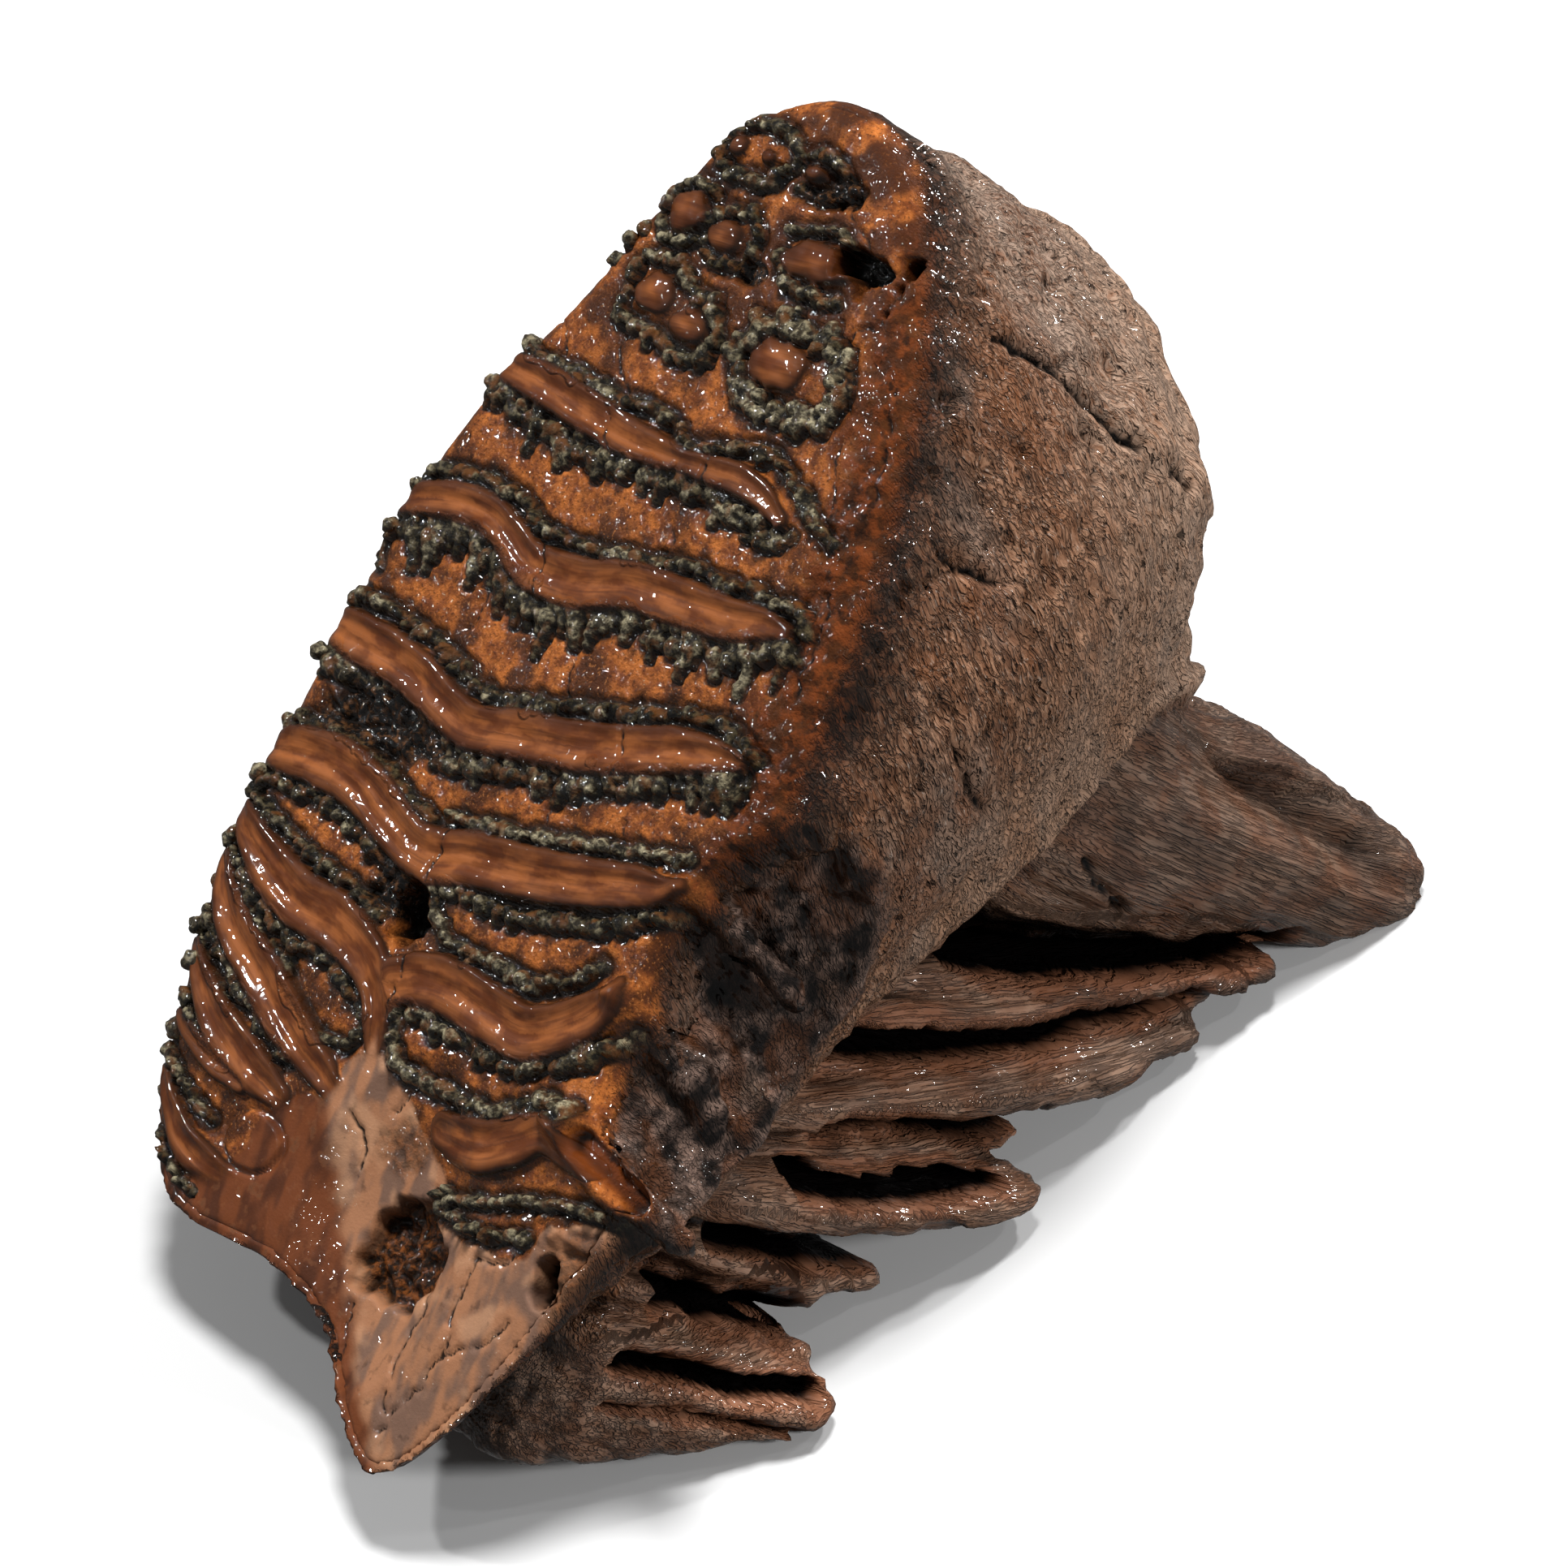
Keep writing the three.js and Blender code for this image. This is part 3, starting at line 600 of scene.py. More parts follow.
for number, (crest, thick, columns, tone) in enumerate(ENAMEL):
    line = smooth_line(crest, 0.5)
    wander = np.stack([line[:, 0], line[:, 1], line[:, 0] * 0], -1)
    line = line + 0.5 * np.stack([rough(wander, 3.5, number),
                                  rough(wander, 3.5, number + 90)], -1)
    window, gap, _, _ = near(line, 5)
    half = thick / 2.3 * (1 + 0.7 * uneven(2.8, number + 40, window))
    edge = gap - half
    height = 0.1 - 0.8 * (gap / half) ** 2 + 0.7 * uneven(1.5, number + 41, window)
    higher = (edge < 0) & (height > crust[window])
    crust[window] = np.where(higher, height, crust[window])
    paleness[window] = np.where(higher, tone * 0.5, paleness[window])
    enamel[window] = np.minimum(enamel[window], edge)
    lead = np.gradient(line, axis=0)
    lead /= np.linalg.norm(lead, axis=1)[:, None]
    place = 0.0
    while place < len(line) - 1:
        here = line[int(place)]
        ahead = lead[int(place)]
        aside = np.array([-ahead[1], ahead[0]])
        for lane in ((-0.25, 0.25) if thick > 3.2 else (0,)):
            spot = here + aside * thick * (lane + dice.normal(0, 0.16))
            spot = spot + ahead * dice.uniform(-0.8, 0.8)
            radius = thick * dice.uniform(0.18, 0.46)
            shade = np.clip(tone + dice.normal(0, 0.3), 0, 1)
            stamp(*spot, radius, dice.uniform(0.5, 1.7), shade)
        place += dice.uniform(1.4, 4.2) * thick / 2.6
    place = dice.uniform(0, 4)
    while columns and place < len(line) - 1:
        here = line[int(place)]
        length = columns * dice.uniform(0.15, 1.1) ** 1.3
        lean = dice.normal(0, 0.22)
        shade = np.clip(tone + dice.normal(0, 0.3), 0, 1)
        girth = dice.uniform(0.85, 1.5)
        down = 0.0
        while down < length:
            share = down / length
            stamp(here[0] + lean * down, here[1] - thick / 3 - down, girth * (1 - 0.2 * share),
                  mix(1.2, 0.2, share) + dice.normal(0, 0.2), shade)
            down += dice.uniform(0.8, 1.6)
        place += dice.choice([2.6, 4.0, 6.5, 12.0])


def oval(t, s, wide, high, wobble=0.0, seed=0):
    """1 in the middle of an oval on the face, 0 on its edge, negative outside."""
    away = np.hypot((T - t) / wide, (S - s) / high)
    return 1 - away * (1 + wobble * uneven(3, seed))


def spots(*ovals):
    """1 inside any of some ovals, each given as how soft its rim is and what oval takes."""
    return np.max([ramp(oval(*where), 0, soft) for soft, *where in ovals], axis=0)


# The smooth hollow at the front, and the broken, pitted and rotted places.
VALLEY = [
    (-58, 24), (-62, 33), (-55, 30), (-46, 34), (-41, 45), (-33, 50), (-30, 55), (-27, 63),
    (-25, 58), (-20, 53), (-10, 46), (-7, 43), (-8, 38), (2, 37), (12, 38), (17, 44),
    (24, 46), (33, 48), (36, 42), (24, 22), (10, 3), (0, -4), (-10, 0), (-18, 10),
    (-30, 17), (-45, 19),
]


def inside_of(outline, reach=6.0):
    """Distance inside a closed outline, negative outside, within reach of it."""
    line = smooth_line(outline, 0.7, closed=True)
    within = np.zeros(T.shape, bool)
    for (t0, s0), (t1, s1) in zip(line, np.roll(line, -1, axis=0)):
        crossing = (s0 > S) != (s1 > S)
        within ^= crossing & (T < (t1 - t0) * (S - s0) / (s1 - s0 + 1e-12) + t0)
    gap = np.full(T.shape, reach)
    window, distance, _, _ = near(line, reach)
    gap[window] = np.minimum(distance, reach)
    return np.where(within, gap, -gap)


# The palest part of the hollow.
PALE = [
    (-35.5, 53.7), (-25.5, 59), (-17, 53), (-8.5, 49), (10, 48), (30, 50), (38, 42), (26, 20),
    (12, 2), (3, -3), (0.5, 2.1), (-5.5, 8.6), (-10.5, 14.3), (-15.5, 20.7), (-19.5, 26.5),
    (-23.5, 32.9), (-27.5, 40.1), (-31.5, 46.5),
]


def blurred(field, times):
    """A field of the face, each place evened out with its four neighbours."""
    for _ in range(times):
        field = (field + np.roll(field, 1, 0) + np.roll(field, -1, 0) + np.roll(field, 1, 1)
                 + np.roll(field, -1, 1)) / 5
    return field


inner = ramp(blurred((level > -2.5).astype(float), 12), 0.5, 1.0)
valley = inside_of(VALLEY)
pale = ramp(inside_of(PALE) + 1.5 * uneven(4, 32), -1.6, 1.6)
tidemark = valley + 1.2 * uneven(5, 3)
cement = -0.35 + 0.35 * uneven(11, 1) + 0.16 * uneven(3.2, 2) + 0.07 * uneven(1.3, 4)
cement -= 0.75 * np.exp(-(np.maximum(enamel, 0) / 0.75) ** 2)
relief = np.maximum(cement, crust)
relief = mix(relief, proud - 1.1 * ramp(tidemark, -9, 0), ramp(-dentine, -0.25, 0.3))
smoothed = (-0.5 + 0.5 * uneven(14, 5) + 0.07 * uneven(3, 6)) * inner
worn_in = ramp(tidemark, -1.0, 1.4) * ramp(np.minimum(enamel, 3), -0.2, 0.4)
worn_in *= np.maximum(ramp(dentine, -1.5, 1.2), ramp(tidemark, -1, 3))
relief = mix(relief, smoothed, worn_in)
broken = spots((0.3, -46, 102.6, 17, 5.6, 0.3, 11), (0.3, -9.5, 181.6, 3.4, 2.6),
               (0.3, -33, 80, 6.5, 5, 0.3, 12), (0.4, 0, 196, 7, 3.2, 0.3, 13))
broken *= ramp(dentine, 0, 0.8)
relief += broken * (-1.2 + 1.5 * uneven(2.4, 7) + 0.8 * uneven(1.2, 8)
                    - np.maximum(crust, 0) * 0.4)
pit = spots((0.22, -10.5, 31, 9.2, 8.6, 0.22, 14))
stain = spots((0.6, -16, 45.5, 6.5, 6, 0.35, 15), (0.5, 22, 37, 7, 8, 0.4, 22))
relief += pit * (-2.9 + 1.3 * uneven(2.4, 9) + 0.8 * uneven(1.25, 10))
relief -= pit * 1.2 * spots((0.5, -14, 36, 6, 6))
relief += stain * (-0.25 + 0.35 * uneven(1.4, 11) + 0.7 * uneven(2.6, 24) * (T > 10))
# A worn plate's socket at the corner over the broken place: an oblong cup with a thick lip.
window, gap, _, _ = near(smooth_line([(17.5, 56.2), (23, 53.8), (27.5, 51.2)], 0.5), 8)
socket = np.zeros(T.shape)
socket[window] = ramp(gap, 3.0, 1.0)
relief[window] = mix(relief[window], 0.9 - 4.2 * ramp(gap, 3.3, 0.8), ramp(gap, 5.0, 4.0))
hole = spots((0.4, -29.3, 77.6, 4.2, 5.4, 0.3, 16), (0.4, 17.8, 36, 1.8, 4.6, 0.4, 17),
             (0.35, 11, 186.5, 7, 3, 0.9, 18))
relief -= hole * 6.5
margin = ramp(T + 3 * uneven(6, 31), 15 - 4 * ramp(S, 150, 180), 22) * ramp(S, 80, 105)
relief += margin * (1.1 * uneven(8, 21) + 0.7 * uneven(3.6, 22) + 0.25 * uneven(1.4, 23))
rough_cheek = spots((0.5, 21, 43, 13, 5, 0.3, 19))
relief += rough_cheek * (0.9 * uneven(2.6, 12) + 0.5 * uneven(1.3, 13))
island = oval(-43, 38, 6, 4.6, 0.08, 20)
relief += 0.5 * ramp(island, 0, 0.15) - 0.5 * np.exp(-(island / 0.09) ** 2)

# Fine cracks in the cement and across the hollow.
CRACKS = [
    [(12, 38), (9, 36), (5, 35), (4.6, 31), (4, 28), (4.6, 24), (5, 20), (3.4, 16),
     (1, 11), (-1.5, 7)],
    [(14, 28.5), (12.4, 26), (11, 24), (8, 22.4), (6, 20), (4.6, 19)],
    [(3, 196.5), (5, 193), (7.5, 191.4), (10, 190), (11, 186)],
    [(18, 166), (15, 169), (12, 175), (14, 178), (16, 179), (17, 184)],
    [(18, 163), (17.4, 160), (19, 156), (20, 151)],
    [(-44, 168), (-40, 166), (-38, 162)], [(-28, 168), (-27, 163), (-24, 160)],
    [(-51, 147), (-49, 143), (-48, 141)], [(-39, 128), (-36, 124), (-37, 120)],
    [(-18, 124.5), (-16, 119), (-15.6, 114)], [(-8, 144), (-6.6, 140), (-7, 137)],
    [(12, 127), (14, 122), (14.4, 118)], [(-26, 158), (-24, 153), (-22, 150)],
    [(-5, 157), (-4, 152), (-3.6, 149)], [(-30, 137), (-27, 132), (-26.5, 128)],
    [(-26.5, 92), (-27, 88), (-27.4, 83)], [(-27, 63), (-26, 68), (-26.2, 73)],
    [(-2, 118), (-1, 113), (-1.2, 106)], [(4, 100), (5, 97)], [(-12, 101), (-10.6, 97)],
    [(22, 170), (24, 163), (25, 155)], [(24, 140), (25, 133), (24, 126)],
    [(-4, 30), (-2, 24), (-3, 17), (-2, 10)], [(-16, 22), (-14, 14), (-10, 9)],
    [(-27, 48), (-24, 44), (-23, 38)], [(-20, 50), (-18, 55)],
]
crack = np.full(T.shape, 3.0)
for line in CRACKS:
    line = smooth_line(line, 0.4)
    wander = np.stack([line[:, 0], line[:, 1], line[:, 0] * 0], -1)
    for size, reach in ((4, 1.2), (1.3, 0.5)):
        line = line + reach * np.stack([rough(wander, size, 3), rough(wander, size, 4)], -1)
    window, gap, _, _ = near(line, 3)
    crack[window] = np.minimum(crack[window], gap + 0.3 * ramp(uneven(3, 30, window), 0.1, 0.6))
relief -= 0.6 * np.exp(-(crack / 0.4) ** 2) * ramp(enamel, -0.3, 0.3)

# The relief is kept on top and fades out down the rim. A crevice lies lower than its
# surroundings.
kept = ramp(level, -7.5, -2.5)
# how far a place lies below its surroundings; the finish darkens crevices by it, partly as dirt
# and partly as painted shade
crevice = np.clip((blurred(relief, 12) - relief) / 1.4, -1, 1)
# The plate ends at the foot of its rounded rim, and at the front just over its sharp rim.
edge_rate = np.maximum(mix(5, 1, ramp(S, 45, 70)), mix(3, 1, ramp(T, -66, -58)))
filled = np.where(level > -14, level, NO_SKIN)
used = filled * edge_rate > -12.5

# How far each place is from a broken edge, where the skin itself shows instead.
cliff = (level > -5) & ((np.roll(level, 1, 0) < -12) | (np.roll(level, -1, 0) < -12)
                        | (np.roll(level, 1, 1) < -12) | (np.roll(level, -1, 1) < -12))
cliff_gap = np.where(cliff, 0.0, 5.0)
for _ in range(9):
    for axis in (0, 1):
        for way in (1, -1):
            cliff_gap = np.minimum(cliff_gap, np.roll(cliff_gap, way, axis) + GRAIN)
            filled = np.where(filled < NO_SKIN / 2, np.roll(filled, way, axis), filled)
surface = filled + hollow + relief * kept


def in_recess(points):
    """1 inside the broken place on the cheek side."""
    t, s, h = face_place(points)
    reach = [np.hypot(np.hypot((s - centre[1]) / radii[0], (t - centre[0]) / radii[1]),
                      (h - centre[2]) / radii[2]) for centre, radii in recess_balls]
    return 1 - ramp(np.min(reach, axis=0) + 0.1 * rough(points, 7, 68), 1.0, 1.12)


def cement_relief(points):
    """The crown's side: upright fibres, pits between them and broad lumps, and on the far
    side the ends of the plates standing through the thin cement."""
    x, y, z = points.T
    relief = 0.34 * rough(points, (1.5, 1.5, 12), 51) + 0.55 * rough(points, (3.4, 3.4, 28), 52)
    relief += 1.5 * rough(points, 24, 53) + 0.8 * rough(points, 9, 54)
    relief -= 1.3 * ramp(rough(points, (2.2, 2.2, 5), 55), 0.25, 0.6)
    rear = ramp(x, 150, 185)
    relief += rear * 2.2 * rough(points, 10, 56)
    far = ramp(y, 8, 24)
    for band in BANDS:
        t, s = band[0][:2]
        ridge_x = s * math.cos(FACE_SLOPE) + 0.2 * (s * math.sin(FACE_SLOPE) - z)
        fade = np.exp(-np.maximum(s * math.sin(FACE_SLOPE) - z, 0) / 45)
        relief += far * 1.7 * fade * np.exp(-((x - ridge_x) / 3.4) ** 2)
    return relief


def torn_relief(points):
    """The broken place: rough at every size."""
    return (1.0 * rough(points, 3.6, 57) + 0.6 * rough(points, 1.6, 58)
            + 1.4 * rough(points, 8, 59) + 2.4 * rough(points, 15, 60))


def sampled(field, t, s):
    """A field of the face at any t and s."""
    i = np.clip((t - ts[0]) / GRAIN, 0, len(ts) - 1.001)
    j = np.clip((s - ss[0]) / GRAIN, 0, len(ss) - 1.001)
    a, b = i.astype(int), j.astype(int)
    u, v = i - a, j - b
    return (field[a, b] * (1 - u) * (1 - v) + field[a + 1, b] * u * (1 - v)
            + field[a, b + 1] * (1 - u) * v + field[a + 1, b + 1] * u * v)


rim_level = filled * edge_rate + 1.4 * uneven(7, 60)


def face_plate():
    """The face as a grid of points, its rim turned in and down and closed deep inside."""
    number = np.full(T.shape, -1)
    number[used] = np.arange(used.sum())
    whole = used[:-1, :-1] & used[1:, :-1] & used[1:, 1:] & used[:-1, 1:]
    i, j = np.nonzero(whole)
    faces = np.stack([number[i, j], number[i, j + 1], number[i + 1, j + 1],
                      number[i + 1, j]], -1)[:, ::-1]
    slope_t, slope_s = np.gradient(filled, GRAIN)
    lean = np.stack([-slope_t[used], -slope_s[used], np.ones(used.sum())], -1)
    lean /= np.linalg.norm(lean, axis=1)[:, None]
    normal = on_face(lean[:, 0], lean[:, 1], lean[:, 2]) - on_face(0, 0, 0)
    beyond = np.maximum(1 - ramp(rim_level, -11.5, -8.8), 1 - ramp(cliff_gap, 0.4, 1.6))
    push = cement_relief(on_face(T, S, level)[used]) * (1 - kept[used]) - beyond[used]
    points = on_face(T[used], S[used], surface[used]) + normal * push[:, None]
    edges = np.concatenate([faces[:, [k, (k + 1) % 4]] for k in range(4)]).tolist()
    forward = {(a, b) for a, b in edges}
    rim = sorted((a, b) for a, b in forward if (b, a) not in forward)
    spots = sorted({a for edge in rim for a in edge})
    t, s = T[used][spots], S[used][spots]
    aim_t, aim_s = FACE_MIDDLE[0], np.clip(s, 45, 165)
    far = np.hypot(t - aim_t, s - aim_s)
    rings = []
    for inward, deepest in ((1.5, 2.5), (9, 13)):
        there_t = t + (aim_t - t) * inward / far
        there_s = s + (aim_s - s) * inward / far
        depth = []
        for spot_t, spot_s in zip(there_t, there_s):
            top = float(sampled(filled, spot_t, spot_s))
            start = on_face(spot_t, spot_s, min(top, 0) - 0.4)
            gap = tree.ray_cast(start.tolist(), (-up_face).tolist())[3] or 2 * OVER_FACE
            sunk = min(float(sampled(surface, spot_t, spot_s)) - top, 0)
            depth.append(min(top, 0) + sunk - min(deepest, gap * 0.55))
        rings.append(on_face(there_t, there_s, np.array(depth)))
    first = len(points)
    place = {spot: k for k, spot in enumerate(spots)}
    faces = faces.tolist()
    back = first + 2 * len(spots)
    for a, b in rim:
        a1, b1 = first + place[a], first + place[b]
        a2, b2 = a1 + len(spots), b1 + len(spots)
        faces += [[b, a, a1, b1], [b1, a1, a2, b2], [b2, a2, back]]
    points = np.vstack([points, *rings, on_face(*FACE_MIDDLE, -30.0)[None]])
    return points, faces


face_points, face_faces = face_plate()


# The skin of the sides and the roots, pushed in and out; its top is sunk under the plate.
def vertex_normals(points, faces):
    """Outward directions at the points of a mesh of quads."""
    a, b, c, d = (points[faces[:, k]] for k in range(4))
    face_normal = np.cross(c - a, d - b)
    normal = np.zeros_like(points)
    for k in range(4):
        np.add.at(normal, faces[:, k], face_normal)
    return normal / np.linalg.norm(normal, axis=1)[:, None]


normals = vertex_normals(skin, skin_faces)
t, s, h = face_place(skin)
here_level = sampled(filled, t, s)
on_top = (h > here_level - 1.2) & (here_level > -13.5)
top_share = np.where(on_top, sampled(kept, t, s), 0)
neck_gap = skin[:, 2] - np.interp(skin[:, 0], neck_xs, neck_zs)
crown_share = ramp(neck_gap, -2.5, 1.5)
torn = in_recess(skin) * ramp(-skin[:, 1], 0, 15) * (1 - top_share)

# Along the nearest root: how far down it a point is, and where it is across it. The points
# are measured a block at a time, to save memory.
halves = [FIN_THICKNESS * values[3] for values in FINS]
halves += [mix(*values[3], 0.6) for values in STOUT_ROOTS]
BLOCK = 20000
apart = np.empty((len(skin), len(root_paths)))
nearest = np.empty(apart.shape, int)
for number, path in enumerate(root_paths):
    for first in range(0, len(skin), BLOCK):
        block = skin[first:first + BLOCK]
        gap = block[:, None, [0, 2]] - path[None][:, :, [0, 2]]
        width = np.abs(block[:, None, 1] - path[None, :, 1])
        distance = np.sqrt((gap ** 2).sum(-1) + 0.02 * width ** 2)
        nearest[first:first + BLOCK, number] = distance.argmin(-1)
        apart[first:first + BLOCK, number] = distance.min(-1) - halves[number]
root_number = apart.argmin(-1)
every = np.arange(len(skin))
share = nearest[every, root_number]
paths = np.array(root_paths)
lead = np.gradient(paths, axis=1)[root_number, share]
lead /= np.linalg.norm(lead, axis=1)[:, None]
upright = np.cross(lead, [0, 1.0, 0])
offset = skin - paths[root_number, share]
thickness = (offset * upright).sum(1)
down_root = share / (PATH_PLACES - 1)
root_place = np.stack([down_root * 100 + root_number * 31, skin[:, 1],
                       thickness + root_number * 7], -1)
flutes = 0.8 * rough(root_place, (45, 2.6, 2.6), 61) + 1.3 * rough(root_place, (60, 7, 7), 62)
flutes += 0.35 * rough(root_place, (9, 1.4, 1.4), 63) + 0.7 * rough(skin, 9, 64)
in_rear_pair = root_number > len(FINS)
flutes += in_rear_pair * 1.6 * rough(root_place, (70, 11, 11), 69)
flutes += 0.4 * ramp(down_root, 0.75, 1) * rough(skin, 2.6, 65)

# The rear pair is drawn in above, below its neck, with a long rough hollow by its end.
rear_pair = in_rear_pair * ramp(thickness, 0, 7)
flutes -= rear_pair * 6 * np.exp(-((down_root - 0.44) / 0.17) ** 2)
hollow_middle = mix(12.0, 4.5, ramp(down_root, 0.45, 0.8))
rear_hollow = np.exp(-((thickness - hollow_middle) / 4.2) ** 2) * (root_number == len(FINS) + 1)
rear_hollow *= ramp(down_root, 0.4, 0.55) * (1 - ramp(down_root, 0.78, 0.9))
rear_hollow *= ramp(-skin[:, 1], 20, 35)
flutes -= rear_hollow * (4.5 + 1.2 * rough(skin, 2.6, 66))

# The deep slots between the roots' ridges, seen from the cheek side: the places each one
# passes (x, y, z), its half width at either end, and how deep it goes.
SLOTS = [
    ([(118, -38, 5), (129, -36, -6.2), (137.3, -37, -13.8), (144.2, -38, -19.8),
      (153.8, -39, -27.2), (163, -40, -34), (173.5, -41, -40.5), (180, -42, -45)], 2.6, 1.2, 10),
    ([(86, -46, 17), (98.6, -43, 4.6), (104.6, -42, -0.4), (111.6, -42, -7), (121.5, -42, -14.5),
      (128.5, -42, -20), (136.5, -43, -24), (146.6, -43, -31), (157, -44, -36)], 3.4, 1.2, 10),
    ([(80, -44, 5), (88.9, -43, -3.1), (96.5, -43, -9.5), (106.9, -40, -20), (113.1, -40, -26),
      (121, -40, -31.5)], 2.0, 1.3, 8),
    ([(71, -44, 4), (75.1, -44, -1), (80.1, -46, -7), (89.1, -47, -15), (97.5, -46.5, -21),
      (105, -47, -27)], 1.8, 1.5, 9),
    ([(57, -37, 2), (63.2, -37, -4), (67.8, -37, -9), (70, -39, -13), (74.9, -40, -18),
      (84, -38, -26)], 1.5, 1.5, 8),
    ([(45, -38, 3), (51.5, -39, -4.5), (54.5, -40, -9.5), (58.5, -40, -13.5), (66, -41, -21)],
     2.4, 2.2, 10),
    ([(33, -41, 1), (36.2, -42, -2.5), (42.5, -44, -9.3), (47.5, -49, -15.8), (51.5, -51, -18.4),
      (56, -54, -22.5)], 1.6, 1.9, 8),
    ([(28, -40, -5), (33.9, -42, -9.6), (37.5, -45, -12.5), (40.9, -47, -15.7), (46.2, -51, -21.5),
      (52, -53, -27)], 0.8, 1.1, 4),
]
cut = np.zeros(len(skin))
for line, first_half, last_half, deepest in SLOTS:
    line = smooth_line(line, 0.8)
    half = mix(first_half, last_half, np.linspace(0, 1, len(line)))
    half = half * (1 + 0.45 * rough(line, 4, len(line)))
    close = np.abs(skin[:, 1] - line[:, 1].mean()) < 16
    close &= (neck_gap < 2) & (skin[:, 0] > line[0, 0] - 6) & (skin[:, 0] < line[-1, 0] + 6)
    chosen = np.nonzero(close)[0]
    gap = np.linalg.norm((skin[chosen][:, None] - line[None])[:, :, [0, 2]], axis=-1)
    reach = (gap / half).min(1)
    fade = ramp(reach, 2.6, 0.7) * 0.2 + ramp(reach, 1.05, 0.5) * 0.8
    ends = ramp(gap.argmin(1) / len(line), 0, 0.12)
    cut[chosen] = np.maximum(cut[chosen], deepest * fade * ends * ramp(-skin[chosen, 1], 18, 28))

# Cracks in the cheek side, each along a few places of the tooth's frame.
SIDE_CRACKS = [
    [(150, -44, 104), (157.5, -46, 95.5), (164, -48, 86), (169, -51, 72.4), (174.5, -51.5, 61.5),
     (181, -49, 50.5)],
    [(143.8, -42, 3.5), (146, -44, -4), (150, -45.5, -12)],
    [(128, -45, 84), (131, -47, 76), (136, -48, 70)],
    [(118, -45, 60), (117, -49, 48), (121, -50, 38)],
]
side_crack = np.full(len(skin), 9.0)
for line in SIDE_CRACKS:
    line = smooth_line(line, 0.6)
    line = line + 1.1 * np.stack([rough(line, 4, k) for k in range(3)], -1)
    for first in range(0, len(skin), BLOCK):
        part = slice(first, first + BLOCK)
        gap = np.linalg.norm((skin[part, None] - line[None])[:, :, [0, 2]], axis=-1)
        side_crack[part] = np.minimum(side_crack[part], gap.min(1))
side_crack = np.where(skin[:, 1] < -20, side_crack + 0.8 * ramp(rough(skin, 5, 67), 0, 0.6), 9)

sides = mix(cement_relief(skin), torn_relief(skin), torn)
sides *= mix(ramp(-h, 0.5, 8), 1, ramp(skin[:, 0], 45, 65))
push = mix(flutes, sides, crown_share) * (1 - top_share)
push -= 1.8 * np.exp(-(side_crack / 0.9) ** 2)
lip = np.exp(-((neck_gap - 1.5) / 2.2) ** 2) * ramp(skin[:, 0], 70, 110)
lip *= 1 - ramp(skin[:, 0], 165, 180)
push += 0.9 * lip * (1 - torn)
body_points = skin + normals * push[:, None]
body_points[:, 1] += cut
rim_here = sampled(rim_level, t, s)
hidden = ramp(rim_here, -9.6, -6) * ramp(sampled(cliff_gap, t, s), 1.4, 2.6) * on_top
lifted = on_face(t, s, sampled(surface, t, s))
body_points = mix(body_points, lifted, (ramp(here_level, -3.5, -1.5) * on_top)[:, None])
body_points -= mix(normals, up_face, ramp(here_level, -6, -2)[:, None]) * (1.5 * hidden)[:, None]

# How much of the sky each place of the skin sees nearby: where it sees little, the finish paints
# shade.
skin_tree = BVHTree.FromPolygons(body_points.tolist(), skin_faces.tolist())
bent = vertex_normals(body_points, skin_faces)
LOOKS = 14
ways = dice.normal(size=(LOOKS, 3))
ways /= np.linalg.norm(ways, axis=1)[:, None]
sky_for_painted_shade = np.ones(len(body_points))
starts = body_points + bent * 0.4
for k in range(len(body_points)):
    lean = bent[k] * 1.05
    met = sum(skin_tree.ray_cast(starts[k], way, 28)[0] is not None
              for way in (ways + lean).tolist())
    sky_for_painted_shade[k] = 1 - met / LOOKS
for _ in range(2):
    total = np.zeros(len(sky_for_painted_shade))
    count = np.zeros(len(sky_for_painted_shade))
    for k in range(4):
        np.add.at(total, skin_faces[:, k], sky_for_painted_shade[skin_faces].mean(1))
        np.add.at(count, skin_faces[:, k], 1)
    sky_for_painted_shade = total / count
placed = laid_down(body_points)
placed[:, 2] = np.maximum(placed[:, 2], 0)


# ------------------------------------------------------------------ the fossil's finish
# One finish for the whole tooth, mixed from numbers kept at its points: lacquered brown
# dentine, wet grey enamel, orange-brown cement, a paler hollow, dull fibrous sides, a
# dark torn recess and dark fluted roots, with painted shade and painted light in places.
finish = bpy.data.materials.new("fossil tooth")
finish.use_nodes = True
nodes = finish.node_tree.nodes
links = finish.node_tree.links
surface_shader = nodes["Principled BSDF"]


def put(socket, value):
    """A link or a plain number into a socket."""
    if isinstance(value, bpy.types.NodeSocket):
        links.new(value, socket)
    elif value is not None:
        socket.default_value = value


def node(kind, *inputs, **settings):
    """One node of the finish, with its first inputs filled in."""
    made = nodes.new("ShaderNode" + kind)
    for key, value in settings.items():
        setattr(made, key, value)
    for socket, value in zip(made.inputs, inputs):
        put(socket, value)
    return made


def kept_number(name):
    return node("Attribute", attribute_name=name).outputs["Fac"]


def kept_place(name):
    return node("Attribute", attribute_name=name).outputs["Vector"]


def sum_of(a, b, operation="ADD"):
    return node("Math", a, b, operation=operation).outputs[0]


def times(a, b):
    return sum_of(a, b, "MULTIPLY")


def greater(a, b):
    return sum_of(a, b, "MAXIMUM")


def stretched(place, size):
    """A place measured in marks of a size in mm, one number for each axis."""
    return node("VectorMath", place, [1 / axis for axis in size], operation="MULTIPLY").outputs[0]


def between(value, low, high, bottom=0.0, top=1.0):
    """From bottom to top while the value rises from low to high."""
    return node("MapRange", value, low, high, bottom, top,
                interpolation_type="SMOOTHSTEP").outputs[0]


